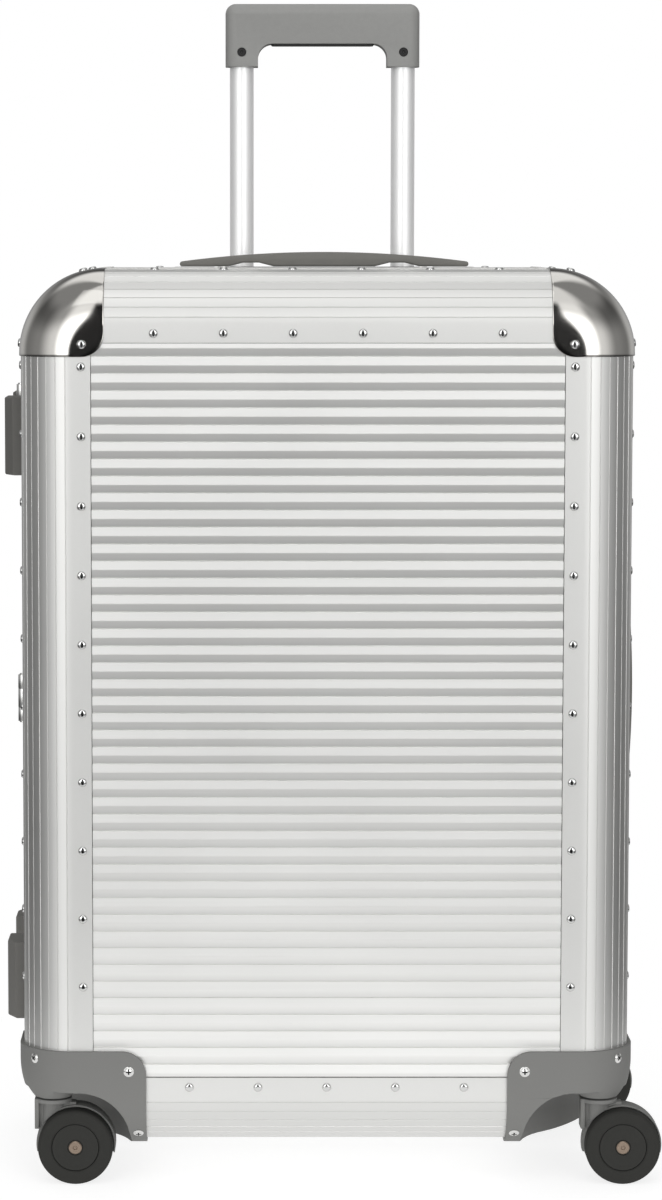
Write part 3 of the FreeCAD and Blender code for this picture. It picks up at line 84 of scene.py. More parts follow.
class Shell(Enum):
    """The two halves of the case, with the side of the split that each is on."""

    LID = ("lid", -1)
    BASE = ("base", 1)

    @property
    def body(self) -> str:
        """The frame body that the shell is."""
        return self.value[0]

    @property
    def side(self) -> int:
        """The sign of Y in the shell."""
        return self.value[1]


class Run(Enum):
    """Stretches of the case's outline."""

    WHOLE = "whole"
    ABOVE_HOUSINGS = "above_housings"
    BETWEEN_HOUSINGS = "between_housings"
    LEFT = "left"
    RIGHT = "right"
    TOP = "top"


# ---------------------------------------------------------------------------
# Meshes
# ---------------------------------------------------------------------------


def as_object(name: str, mesh: bmesh.types.BMesh, outward: bool = True) -> Object:
    """Turn a bmesh into an object at the origin, smooth but for its sharp edges.

    Args:
        name: The piece's name.
        mesh: The bmesh, which is freed.
        outward: Whether the normals are worked out again, as a closed mesh needs.

    Returns:
        The linked object.
    """
    if outward:
        bmesh.ops.recalc_face_normals(mesh, faces=mesh.faces)
    data = bpy.data.meshes.new(name)
    mesh.to_mesh(data)
    mesh.free()
    piece = bpy.data.objects.new(name, data)
    bpy.context.scene.collection.objects.link(piece)
    return smoothed(piece)


def smoothed(piece: Object, angle: float = SHARP) -> Object:
    """Shade a piece smooth, with edges over an angle kept sharp.

    Args:
        piece: The piece.
        angle: The angle between faces over which an edge stays sharp.

    Returns:
        The same piece.
    """
    piece.data.shade_smooth()
    piece.data.set_sharp_from_angle(angle=angle)
    return piece


def skinned(rings: Sequence[Ring], closed_ring: bool = True, closed_run: bool = False) -> bmesh.types.BMesh:
    """A surface through a run of rings that all have the same number of points.

    Args:
        rings: The rings, in order.
        closed_ring: Whether each ring's last point joins its first.
        closed_run: Whether the last ring joins the first. Else closed rings get end faces.

    Returns:
        The bmesh.
    """
    mesh = bmesh.new()
    rows = [[mesh.verts.new(point) for point in ring] for ring in rings]
    size = len(rows[0])
    pairs = list(zip(rows, rows[1:])) + ([(rows[-1], rows[0])] if closed_run else [])
    for here, there in pairs:
        for index in range(size if closed_ring else size - 1):
            after = (index + 1) % size
            mesh.faces.new((here[index], here[after], there[after], there[index]))
    if closed_ring and not closed_run:
        mesh.faces.new(rows[0][::-1])
        mesh.faces.new(rows[-1])
    return mesh


def turned(profile: Sequence[Pair], centre: Vector, axis: str, steps: int = 64) -> bmesh.types.BMesh:
    """A closed profile turned about an axis through a point.

    Args:
        profile: Points as (radius, place along the axis from the centre), never on the axis.
        centre: A point on the axis.
        axis: "Y" or "Z".
        steps: Faces round the turn.

    Returns:
        The bmesh.
    """
    rings = []
    for step in range(steps):
        angle = 2 * math.pi * step / steps
        across, up = math.cos(angle), math.sin(angle)
        if axis == "Z":
            ring = [centre + Vector((r * across, r * up, along)) for r, along in profile]
        else:
            ring = [centre + Vector((r * across, along, r * up)) for r, along in profile]
        rings.append(ring)
    return skinned(rings, closed_run=True)


def joined(name: str, parts: Iterable[bmesh.types.BMesh]) -> Object:
    """Several bmeshes as one object.

    Args:
        name: The piece's name.
        parts: The bmeshes, which are freed.

    Returns:
        The linked object.
    """
    whole = bmesh.new()
    for part in parts:
        bmesh.ops.recalc_face_normals(part, faces=part.faces)
        data = bpy.data.meshes.new(name)
        part.to_mesh(data)
        part.free()
        whole.from_mesh(data)
        bpy.data.meshes.remove(data)
    return as_object(name, whole, outward=False)


def settled(piece: Object) -> Object:
    """Apply a piece's modifiers to its mesh.

    Args:
        piece: The piece.

    Returns:
        The same piece, with a plain mesh and no modifiers.
    """
    bpy.context.view_layer.update()
    graph = bpy.context.evaluated_depsgraph_get()
    data = bpy.data.meshes.new_from_object(piece.evaluated_get(graph), depsgraph=graph)
    old = piece.data
    piece.modifiers.clear()
    piece.data = data
    bpy.data.meshes.remove(old)
    return piece


def bevelled(piece: Object, width: float, steps: int = 2, angle: float = SHARP) -> Object:
    """Round a piece's sharp edges.

    Args:
        piece: The piece.
        width: The bevel's width.
        steps: Faces across the bevel.
        angle: The angle between faces over which an edge is rounded.

    Returns:
        The same piece.
    """
    bevel = piece.modifiers.new("edges", "BEVEL")
    bevel.width = width
    bevel.segments = steps
    bevel.limit_method = "ANGLE"
    bevel.angle_limit = angle
    bevel.miter_outer = "MITER_ARC"
    return smoothed(settled(piece))


def cad_copy(node: str, name: str, edge: float = 0.0, steps: int = 2, merge_flat: bool = True) -> Object:
    """A copy of a frame node as one merged mesh, with its edges rounded.

    Args:
        node: The node.
        name: The piece's name.
        edge: The width of the rounding, or 0 for none.
        steps: Faces across the rounding.
        merge_flat: Whether flat neighbours become one face first.

    Returns:
        The new object.
    """
    mesh = bmesh.new()
    mesh.from_mesh(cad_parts[node].data)
    bmesh.ops.remove_doubles(mesh, verts=mesh.verts, dist=MERGE)
    if merge_flat:
        flat = math.radians(0.3)
        bmesh.ops.dissolve_limit(mesh, angle_limit=flat, verts=mesh.verts, edges=mesh.edges)
    piece = as_object(name, mesh, outward=False)
    return bevelled(piece, edge, steps) if edge else piece


@dataclass(frozen=True)
class Spot:
    """Where a small fastener sits: its foot, the way it faces and its radius."""

    foot: Vector
    facing: Vector
    radius: float


def spots_of(node: str) -> list[Spot]:
    """The place of each separate solid of a node of fasteners.

    Args:
        node: A node whose solids are round heads, wider than they are high.

    Returns:
        One spot for each solid.
    """
    mesh = bmesh.new()
    mesh.from_mesh(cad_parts[node].data)
    bmesh.ops.remove_doubles(mesh, verts=mesh.verts, dist=MERGE)
    middle = (CAD_BOX[0] + CAD_BOX[1]) / 2
    seen: set[bmesh.types.BMVert] = set()
    spots = []
    for start in mesh.verts:
        if start in seen:
            continue
        island, queue = [], [start]
        seen.add(start)
        while queue:
            vert = queue.pop()
            island.append(vert.co.copy())
            for edge in vert.link_edges:
                other = edge.other_vert(vert)
                if other not in seen:
                    seen.add(other)
                    queue.append(other)
        points = np.array(island)
        _, vectors = np.linalg.eigh(np.cov((points - points.mean(0)).T))
        facing = Vector(vectors[:, 0])
        centre = Vector(points.mean(0))
        if facing.dot(centre - middle) < 0:
            facing.negate()
        heights = (points - np.array(centre)) @ np.array(facing)
        low = points[heights < heights.min() + MERGE]
        foot = Vector((low.max(0) + low.min(0)) / 2)
        radius = float(np.linalg.norm(low - np.array(foot), axis=1).max())
        spots.append(Spot(foot, facing, radius))
    mesh.free()
    return spots


# ---------------------------------------------------------------------------
# Geometry Nodes
# ---------------------------------------------------------------------------


class Tree:
    """A Geometry Nodes tree with named inputs, which ends in Realize Instances and Set Material."""

    KINDS = {
        float: "NodeSocketFloat",
        int: "NodeSocketInt",
        Object: "NodeSocketObject",
        bpy.types.Material: "NodeSocketMaterial",
    }

    def __init__(self, name: str, inputs: dict[str, type]) -> None:
        """Start an empty tree.

        Args:
            name: The tree's name.
            inputs: The name and the kind of each input beside the geometry.
        """
        self.group = bpy.data.node_groups.new(name, "GeometryNodeTree")
        face = self.group.interface
        face.new_socket("Geometry", in_out="INPUT", socket_type="NodeSocketGeometry")
        face.new_socket("Geometry", in_out="OUTPUT", socket_type="NodeSocketGeometry")
        for label, kind in {**inputs, "Finish": bpy.types.Material}.items():
            face.new_socket(label, in_out="INPUT", socket_type=self.KINDS[kind])
        self.source = self.group.nodes.new("NodeGroupInput")
        self.sink = self.group.nodes.new("NodeGroupOutput")

    def add(self, kind: str, links: dict[str, Socket | float], **settings: object) -> Node:
        """Add a node.

        Args:
            kind: The node's type.
            links: What feeds each named input: a socket, or a plain value.
            **settings: The node's own properties.

        Returns:
            The node.
        """
        node = self.group.nodes.new(kind)
        for label, value in settings.items():
            setattr(node, label, value)
        for label, value in links.items():
            socket = next(s for s in node.inputs if s.enabled and s.name == label.rstrip("."))
            if label.endswith("."):
                socket = [s for s in node.inputs if s.enabled and s.name == label.rstrip(".")][1]
            if isinstance(value, Socket):
                self.group.links.new(value, socket)
            else:
                socket.default_value = value
        return node

    def sums(self, operation: str, first: object, second: object = 0.0) -> Socket:
        """One step of arithmetic.

        Args:
            operation: The operation's name.
            first: A socket or a number.
            second: A socket or a number.

        Returns:
            The result's socket.
        """
        node = self.add("ShaderNodeMath", {"Value": first, "Value.": second}, operation=operation)
        return node.outputs[0]

    def given(self, label: str) -> Socket:
        """The socket of a named input."""
        return self.source.outputs[label]

    def end(self, geometry: Socket) -> "Tree":
        """Realize what the tree made and give it its material.

        Args:
            geometry: What the tree made.

        Returns:
            The tree.
        """
        real = self.add("GeometryNodeRealizeInstances", {"Geometry": geometry})
        dressed = self.add(
            "GeometryNodeSetMaterial", {"Geometry": real.outputs[0], "Material": self.given("Finish")}
        )
        self.group.links.new(dressed.outputs[0], self.sink.inputs[0])
        return self

    def grow(self, piece: Object, **values: object) -> Object:
        """Run the tree on a piece and keep the result as its plain mesh.

        Args:
            piece: The object that holds the tree's first geometry.
            **values: The inputs, by their names in small letters with _ for spaces.

        Returns:
            The same piece.
        """
        growth = piece.modifiers.new(self.group.name, "NODES")
        growth.node_group = self.group
        for item in self.group.interface.items_tree:
            label = item.name.lower().replace(" ", "_")
            if item.in_out == "INPUT" and label in values:
                growth[item.identifier] = values[label]
        return smoothed(settled(piece))


def fastener_tree() -> Tree:
    """The tree that sets a head on each point, turned to the point's facing and scaled to its reach."""
    tree = Tree("fasteners", {"Head": Object, "Size": float})
    facing = tree.add("GeometryNodeInputNamedAttribute", {"Name": "facing"}, data_type="FLOAT_VECTOR")
    turn = tree.add("FunctionNodeAlignRotationToVector", {"Vector": facing.outputs[0]}, axis="Z")
    head = tree.add("GeometryNodeObjectInfo", {"Object": tree.given("Head")})
    placed = tree.add(
        "GeometryNodeInstanceOnPoints",
        {
            "Points": tree.given("Geometry"),
            "Instance": head.outputs["Geometry"],
            "Rotation": turn.outputs[0],
            "Scale": tree.given("Size"),
        },
    )
    return tree.end(placed.outputs[0])


def ribbed_tree() -> Tree:
    """The tree that makes a standing ribbed sheet: flat lands with a hollow groove between each two."""
    tree = Tree(
        "ribbed_sheet",
        {
            "Width": float,
            "Height": float,
            "Columns": int,
            "Rows": int,
            "Pitch": float,
            "Land": float,
            "Depth": float,
            "Deepest": float,
            "First Groove": float,
        },
    )
    grid = tree.add(
        "GeometryNodeMeshGrid",
        {
            "Size X": tree.given("Width"),
            "Size Y": tree.given("Height"),
            "Vertices X": tree.given("Columns"),
            "Vertices Y": tree.given("Rows"),
        },
    )
    place = tree.add("GeometryNodeInputPosition", {})
    parts = tree.add("ShaderNodeSeparateXYZ", {"Vector": place.outputs[0]})
    top = tree.sums("MULTIPLY", tree.given("Height"), 0.5)
    drop = tree.sums("SUBTRACT", tree.sums("SUBTRACT", top, parts.outputs["Y"]), tree.given("First Groove"))
    phase = tree.sums("WRAP", drop, tree.sums("MULTIPLY", tree.given("Pitch"), 0.5))
    wrap = phase.node
    low = tree.sums("MULTIPLY", tree.given("Pitch"), -0.5)
    tree.group.links.new(low, wrap.inputs[2])
    half = tree.sums("MULTIPLY", tree.sums("SUBTRACT", tree.given("Pitch"), tree.given("Land")), 0.5)
    share = tree.sums("MULTIPLY", tree.sums("ADD", tree.sums("DIVIDE", phase, half), 1.0), 0.5)
    slope = tree.sums("DIVIDE", share, tree.given("Deepest"))
    beyond_deepest = tree.sums("SUBTRACT", 1.0, tree.given("Deepest"))
    ledge = tree.sums("DIVIDE", tree.sums("SUBTRACT", 1.0, share), beyond_deepest)
    hollow = tree.sums("MAXIMUM", tree.sums("MINIMUM", slope, ledge), 0.0)
    sink = tree.sums("MULTIPLY", tree.sums("MULTIPLY", hollow, tree.given("Depth")), -1.0)
    offset = tree.add("ShaderNodeCombineXYZ", {"Z": sink})
    moved = tree.add(
        "GeometryNodeSetPosition", {"Geometry": grid.outputs["Mesh"], "Offset": offset.outputs[0]}
    )
    standing = tree.add("GeometryNodeTransform", {"Geometry": moved.outputs[0]})
    standing.inputs["Rotation"].default_value = (math.pi / 2, 0, 0)
    return tree.end(standing.outputs[0])


def stitch_tree() -> Tree:
    """The tree that lays a stitch at every step along a seam's line."""
    tree = Tree("stitches", {"Thread": Object, "Step": float})
    line = tree.add("GeometryNodeMeshToCurve", {"Mesh": tree.given("Geometry")})
    spaced = tree.add(
        "GeometryNodeResampleCurve", {"Curve": line.outputs[0], "Length": tree.given("Step")}, mode="LENGTH"
    )
    along = tree.add("GeometryNodeInputTangent", {})
    turn = tree.add("FunctionNodeAlignRotationToVector", {"Vector": along.outputs[0]}, axis="X")
    thread = tree.add("GeometryNodeObjectInfo", {"Object": tree.given("Thread")})
    placed = tree.add(
        "GeometryNodeInstanceOnPoints",
        {"Points": spaced.outputs[0], "Instance": thread.outputs["Geometry"], "Rotation": turn.outputs[0]},
    )
    return tree.end(placed.outputs[0])


# ---------------------------------------------------------------------------
# Finishes
# ---------------------------------------------------------------------------


def linear(colour: Colour) -> tuple[float, float, float, float]:
    """A colour in 0 to 255 steps as the linear one that shaders take."""
    shares = [value / 255 for value in colour]
    steps = [s / 12.92 if s <= 0.04045 else ((s + 0.055) / 1.055) ** 2.4 for s in shares]
    return (*steps, 1.0)


@dataclass(frozen=True)
class Finish:
    """A surface with a fine grain in its tone, its gloss and its height."""

    name: str
    colour: Colour
    roughness: float
    metallic: float = 0.0
    specular: float = 0.5
    tone: float = 0.05
    tone_scale: float = 40.0
    grain: tuple[float, float, float] = (1500.0, 1500.0, 1500.0)
    bump: float = 0.1
    bump_height: float = 0.0001
    rough_spread: float = 0.05
    sheen: float = 0.0
    glow: float = 0.0

    def build(self) -> bpy.types.Material:
        """The material, made the first time it is asked for."""
        label = self.name + "_finish"
        known = bpy.data.materials.get(label)
        if known:
            return known
        material = bpy.data.materials.new(label)
        material.use_nodes = True
        nodes, links = material.node_tree.nodes, material.node_tree.links
        shader = next(node for node in nodes if node.type == "BSDF_PRINCIPLED")
        shader.inputs["Metallic"].default_value = self.metallic
        shader.inputs["Specular IOR Level"].default_value = self.specular
        shader.inputs["Sheen Weight"].default_value = self.sheen
        shader.inputs["Emission Color"].default_value = (1, 1, 1, 1)
        shader.inputs["Emission Strength"].default_value = self.glow
        place = nodes.new("ShaderNodeTexCoord").outputs["Object"]
        self.paint(nodes, links, shader, place)
        self.relief(nodes, links, shader, place)
        return material

    def paint(self, nodes: Nodes, links: Links, shader: Node, place: Socket) -> None:
        """Vary the tone and the gloss in soft patches and in the grain.

        Args:
            nodes: The material's nodes.
            links: The material's links.
            shader: The surface shader.
            place: The object coordinates.
        """
        patches = noise(nodes, links, place, (self.tone_scale,) * 3, 3.0)
        grain = noise(nodes, links, place, self.grain, 2.0)
        both = mixed(nodes, links, 0.5, patches, grain)
        blend = nodes.new("ShaderNodeMix")
        blend.data_type = "RGBA"
        links.new(both, blend.inputs["Factor"])
        base = linear(self.colour)
        blend.inputs[6].default_value = tuple(c * (1 - self.tone) for c in base[:3]) + (1.0,)
        blend.inputs[7].default_value = tuple(min(c * (1 + self.tone), 1.0) for c in base[:3]) + (1.0,)
        links.new(blend.outputs[2], shader.inputs["Base Color"])
        span = nodes.new("ShaderNodeMapRange")
        links.new(both, span.inputs["Value"])
        span.inputs["To Min"].default_value = max(self.roughness - self.rough_spread, 0.02)
        span.inputs["To Max"].default_value = self.roughness + self.rough_spread
        links.new(span.outputs[0], shader.inputs["Roughness"])

    def relief(self, nodes: Nodes, links: Links, shader: Node, place: Socket) -> None:
        """Raise the grain.

        Args:
            nodes: The material's nodes.
            links: The material's links.
            shader: The surface shader.
            place: The object coordinates.
        """
        if self.bump:
            height = noise(nodes, links, place, self.grain, 3.0)
            raised(nodes, links, shader, height, self.bump, self.bump_height)


@dataclass(frozen=True)
class GrooveShadedFinish(Finish):
    """A metal with painted shade in its grooves: the base colour is darker where the sheet lies back from
    its face in Y.
    """

    face: float = 127.0 * MM
    floor: float = 125.9 * MM
    # The share of the base colour left at the groove floor, as painted shade.
    groove_shade: float = 0.88

    def paint(self, nodes: Nodes, links: Links, shader: Node, place: Socket) -> None:
        """Paint shade down the grooves by darkening the base colour there.

        Args:
            nodes: The material's nodes.
            links: The material's links.
            shader: The surface shader.
            place: The object coordinates.
        """
        super().paint(nodes, links, shader, place)
        # Painted shade: the base colour is scaled down from the face towards the groove floor.
        parts = nodes.new("ShaderNodeSeparateXYZ")
        links.new(place, parts.inputs[0])
        depth = nodes.new("ShaderNodeMath")
        depth.operation = "ABSOLUTE"
        links.new(parts.outputs["Y"], depth.inputs[0])
        span = nodes.new("ShaderNodeMapRange")
        links.new(depth.outputs[0], span.inputs["Value"])
        span.inputs["From Min"].default_value = self.floor
        span.inputs["From Max"].default_value = self.face
        span.inputs["To Min"].default_value = self.groove_shade
        span.inputs["To Max"].default_value = 1.0
        shaded_colour = nodes.new("ShaderNodeVectorMath")
        shaded_colour.operation = "SCALE"
        links.new(shader.inputs["Base Color"].links[0].from_socket, shaded_colour.inputs[0])
        links.new(span.outputs[0], shaded_colour.inputs["Scale"])
        links.new(shaded_colour.outputs[0], shader.inputs["Base Color"])


@dataclass(frozen=True)
class WovenFinish(Finish):
    """A plain woven cloth with threads along the two directions of its face."""

    thread: float = 0.0011
    crossing: str = "XZ"

    def relief(self, nodes: Nodes, links: Links, shader: Node, place: Socket) -> None:
        """Raise over-and-under threads.

        Args:
            nodes: The material's nodes.
            links: The material's links.
            shader: The surface shader.
            place: The object coordinates.
        """
        waves = []
        for direction in self.crossing:
            wave = nodes.new("ShaderNodeTexWave")
            wave.wave_type = "BANDS"
            wave.bands_direction = direction
            wave.inputs["Scale"].default_value = 1 / (self.thread * 20) * math.pi
            wave.inputs["Distortion"].default_value = 0.4
            links.new(place, wave.inputs["Vector"])
            waves.append(wave.outputs["Fac"])
        step = nodes.new("ShaderNodeMath")
        step.operation = "MULTIPLY"
        links.new(waves[0], step.inputs[0])
        links.new(waves[1], step.inputs[1])
        raised(nodes, links, shader, step.outputs[0], self.bump, self.bump_height)


def noise(nodes: Nodes, links: Links, place: Socket, scale: tuple[float, float, float],
          detail: float) -> Socket:
    """A noise that is stretched by a scale along each axis.

    Args:
        nodes: The material's nodes.
        links: The material's links.
        place: The coordinates.
        scale: How fine the noise is along X, Y and Z, per metre.
        detail: How many finer layers it has.

    Returns:
        The noise's value.
    """
    mapping = nodes.new("ShaderNodeMapping")
    mapping.inputs["Scale"].default_value = scale
    links.new(place, mapping.inputs["Vector"])
    texture = nodes.new("ShaderNodeTexNoise")
    texture.inputs["Scale"].default_value = 1.0
    texture.inputs["Detail"].default_value = detail
    links.new(mapping.outputs[0], texture.inputs["Vector"])
    return texture.outputs["Fac"]


def mixed(nodes: Nodes, links: Links, share: float, first: Socket, second: Socket) -> Socket:
    """Two values mixed.

    Args:
        nodes: The material's nodes.
        links: The material's links.
        share: The second value's share.
        first: The first value's socket.
        second: The second value's socket.

    Returns:
        The mix.
    """
    mix = nodes.new("ShaderNodeMix")
    mix.inputs["Factor"].default_value = share
    links.new(first, mix.inputs["A"])
    links.new(second, mix.inputs["B"])
    return mix.outputs[0]


def raised(nodes: Nodes, links: Links, shader: Node, height: Socket, strength: float,
           distance: float) -> None:
    """Feed a height to the shader's normal through a bump.

    Args:
        nodes: The material's nodes.
        links: The material's links.
        shader: The surface shader.
        height: The height's socket, from 0 to 1.
        strength: The bump's strength.
        distance: The height of 1, in metres.
    """
    bump = nodes.new("ShaderNodeBump")
    bump.inputs["Strength"].default_value = strength
    bump.inputs["Distance"].default_value = distance
    links.new(height, bump.inputs["Height"])
    links.new(bump.outputs[0], shader.inputs["Normal"])


RIBBED = Finish("ribbed_aluminium", (232, 232, 230), 0.42, 1.0, tone=0.03, tone_scale=9.0,
                grain=(6.0, 1800.0, 1800.0), bump=0.12, rough_spread=0.05)
# The panel's finish carries painted shade in its grooves.
PANEL = GrooveShadedFinish("panel_aluminium", (234, 234, 232), 0.42, 1.0, tone=0.03, tone_scale=9.0,
                      grain=(6.0, 1800.0, 1800.0), bump=0.12, rough_spread=0.05)
PROFILE = Finish("edge_profile_aluminium", (214, 214, 212), 0.42, 1.0, tone=0.03, tone_scale=12.0,
                 grain=(900.0, 900.0, 900.0), bump=0.06, rough_spread=0.04)
FRAME = Finish("frame_aluminium", (214, 214, 212), 0.3, 1.0, tone=0.04, grain=(300.0, 2500.0, 300.0),
               bump=0.08)
POLISHED = Finish("polished_steel", (184, 182, 178), 0.09, 1.0, tone=0.04, tone_scale=30.0,
                  grain=(700.0, 700.0, 700.0), bump=0.03, rough_spread=0.03)
CHROME = Finish("rivet_chrome", (205, 205, 204), 0.12, 1.0, tone=0.03, bump=0.02, rough_spread=0.03)
SCREW = Finish("screw_steel", (214, 214, 212), 0.2, 1.0, tone=0.04, bump=0.05)
TUBE = Finish("tube_aluminium", (246, 246, 246), 0.4, 0.45, tone=0.03, grain=(900.0, 900.0, 40.0),
              bump=0.05, rough_spread=0.04)
AXLE = Finish("axle_steel", (138, 123, 110), 0.3, 1.0, tone=0.06, bump=0.05)
MOULDED = Finish("moulded_grey", (118, 118, 116), 0.62, tone=0.06, tone_scale=25.0,
                 grain=(2600.0, 2600.0, 2600.0), bump=0.25, bump_height=0.00012, specular=0.12)
GRIP = Finish("grip_plastic", (147, 147, 145), 0.6, tone=0.1, tone_scale=300.0,
              grain=(1800.0, 1800.0, 1800.0), bump=0.35, bump_height=0.00012, specular=0.35)
BUTTON = Finish("button_plastic", (58, 58, 57), 0.5, tone=0.08, bump=0.15)
STRAP = Finish("strap_plastic", (114, 113, 109), 0.58, tone=0.1, tone_scale=120.0,
               grain=(1300.0, 1300.0, 1300.0), bump=0.3, bump_height=0.00015, specular=0.15)
BUMPER = Finish("bumper_rubber", (104, 103, 100), 0.7, tone=0.08, tone_scale=60.0, bump=0.3,
                bump_height=0.00012, specular=0.3)
SEAL = Finish("seal_rubber", (34, 34, 34), 0.65, tone=0.15, bump=0.2)
TYRE = Finish("tyre_rubber", (48, 48, 46), 0.7, tone=0.12, tone_scale=140.0,
              grain=(1500.0, 1500.0, 1500.0), bump=0.25, bump_height=0.00012, specular=0.08)
HUB = Finish("hub_plastic", (50, 50, 48), 0.6, tone=0.08, bump=0.12, specular=0.06)
# Near-black, named for recesses: painted shade on the floors of the screws' cross slots; the grip's socket
# screws are coloured with it too.
RECESS = Finish("recess_black", (16, 16, 16), 0.6, tone=0.2, bump=0.1)
LINING = WovenFinish("lining_cloth", (52, 54, 58), 0.85, tone=0.22, tone_scale=60.0, bump=0.6,
                     bump_height=0.0003, sheen=0.35, specular=0.2)
BINDING = WovenFinish("binding_tape", (30, 31, 33), 0.8, tone=0.2, bump=0.5, bump_height=0.0003,
                      sheen=0.2, specular=0.2)
THREAD = Finish("seam_thread", (112, 114, 118), 0.7, tone=0.1, bump=0.2)


def dress(
    piece: Object, body: str, slot: str, finish: Finish, *nodes: str
) -> Object:
    """Give a finished piece its material and its body, and hide the frame nodes it stands for.

    Args:
        piece: The piece.
        body: The frame body it rides on.
        slot: The record's material slot; not used.
        finish: Its finish.
        *nodes: The frame nodes it stands for.

    Returns:
        The same piece.
    """
    piece.data.materials.clear()
    piece.data.materials.append(finish.build())
    for polygon in piece.data.polygons:
        polygon.material_index = 0
    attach(piece, body)
    if nodes:
        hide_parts(*nodes)
    LOG.info("%s: %d faces on %s", piece.name, len(piece.data.polygons), body)
    return piece


# ---------------------------------------------------------------------------
# The case's outline
# ---------------------------------------------------------------------------


@dataclass(frozen=True)
class Station:
    """A place on the outline's base line, with the outward direction there, in X and Z."""

    x: float
    z: float
    out_x: float
    out_z: float

    def at(self, reach: float, y: float) -> Vector:
        """The point at a reach outwards from the base line, and at a Y."""
        return Vector((self.x + self.out_x * reach, y, self.z + self.out_z * reach))


@dataclass
class Outline:
    """The rounded rectangle that the shells follow.

    Its base line is where the rounding of the large faces starts, so that a section is given by
    its reach outwards from that line and its depth from the split.
    """

    edge: float = 38 * MM
    corner: float = 60 * MM
    corner_steps: int = 14
    lap: float = 4 * MM
    half_width: float = field(init=False)
    half_depth: float = field(init=False)
    low: float = field(init=False)
    high: float = field(init=False)
    housing_top: float = field(init=False)
    housing_inner: float = field(init=False)

    def __post_init__(self) -> None:
        """Read the overall sizes from the frame."""
        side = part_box("lid_profile_right")
        self.half_width = side[1].x
        self.half_depth = -side[0].y
        self.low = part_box("lid_profile_bottom")[0].z
        self.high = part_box("lid_profile_top")[1].z
        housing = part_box("lid_housing_right")
        self.housing_top = housing[1].z
        self.housing_inner = housing[0].x

    @property
    def flat_depth(self) -> float:
        """The depth where the rounding starts."""
        return self.half_depth - self.edge

    def stations(self, run: Run) -> list[Station]:
        """The stations of one stretch of the outline.

        Args:
            run: The stretch.

        Returns:
            The stations, anticlockwise as seen from the lid's side.
        """
        side = self.half_width - self.edge
        low, high = self.low + self.edge, self.high - self.edge
        bend = self.corner - self.edge
        ends = {"right": side - bend, "left": -(side - bend), "low": low + bend, "high": high - bend}
        start = self.housing_top - self.lap
        inner = self.housing_inner + self.lap
        if run is Run.LEFT:
            return [Station(-side, z, -1, 0) for z in (ends["high"], start)]
        if run is Run.RIGHT:
            return [Station(side, z, 1, 0) for z in (start, ends["high"])]
        if run is Run.TOP:
            return [Station(x, high, 0, 1) for x in (ends["right"], ends["left"])]
        if run is Run.BETWEEN_HOUSINGS:
            return [Station(x, low, 0, -1) for x in (-inner, inner)]
        top_corners = self.bend(ends["right"], ends["high"], bend, 0)
        top_corners += self.bend(ends["left"], ends["high"], bend, 1)
        if run is Run.ABOVE_HOUSINGS:
            return [Station(side, start, 1, 0)] + top_corners + [Station(-side, start, -1, 0)]
        low_corners = self.bend(ends["left"], ends["low"], bend, 2)
        return top_corners + low_corners + self.bend(ends["right"], ends["low"], bend, 3)

    def bend(self, x: float, z: float, radius: float, quarter: int) -> list[Station]:
        """The stations round one corner.

        Args:
            x: The corner's centre in X.
            z: The corner's centre in Z.
            radius: The base line's radius there.
            quarter: How many quarter turns from +X the corner starts.

        Returns:
            The stations.
        """
        stations = []
        for step in range(self.corner_steps + 1):
            angle = (quarter + step / self.corner_steps) * math.pi / 2
            out_x, out_z = math.cos(angle), math.sin(angle)
            stations.append(Station(x + radius * out_x, z + radius * out_z, out_x, out_z))
        return stations

    def sweep(self, section: Sequence[Pair], run: Run, shell: Shell) -> bmesh.types.BMesh:
        """A closed section carried along a stretch of the outline.

        Args:
            section: Points as (reach, depth).
            run: The stretch.
            shell: The shell, whose side of the split the depth counts on.

        Returns:
            The bmesh.
        """
        rings = [[s.at(reach, shell.side * depth) for reach, depth in section] for s in self.stations(run)]
        return skinned(rings, closed_run=run is Run.WHOLE)


def arc(centre: Pair, radius: float, start: float, end: float, steps: int) -> list[Pair]:
    """Points along an arc.

    Args:
        centre: The centre.
        radius: The radius.
        start: The first angle, in degrees.
        end: The last angle, in degrees.
        steps: How many equal steps it takes.

    Returns:
        The points, both ends included.
    """
    angles = [math.radians(start + (end - start) * step / steps) for step in range(steps + 1)]
    return [(centre[0] + radius * math.cos(a), centre[1] + radius * math.sin(a)) for a in angles]


# ---------------------------------------------------------------------------
# Shells
# ---------------------------------------------------------------------------


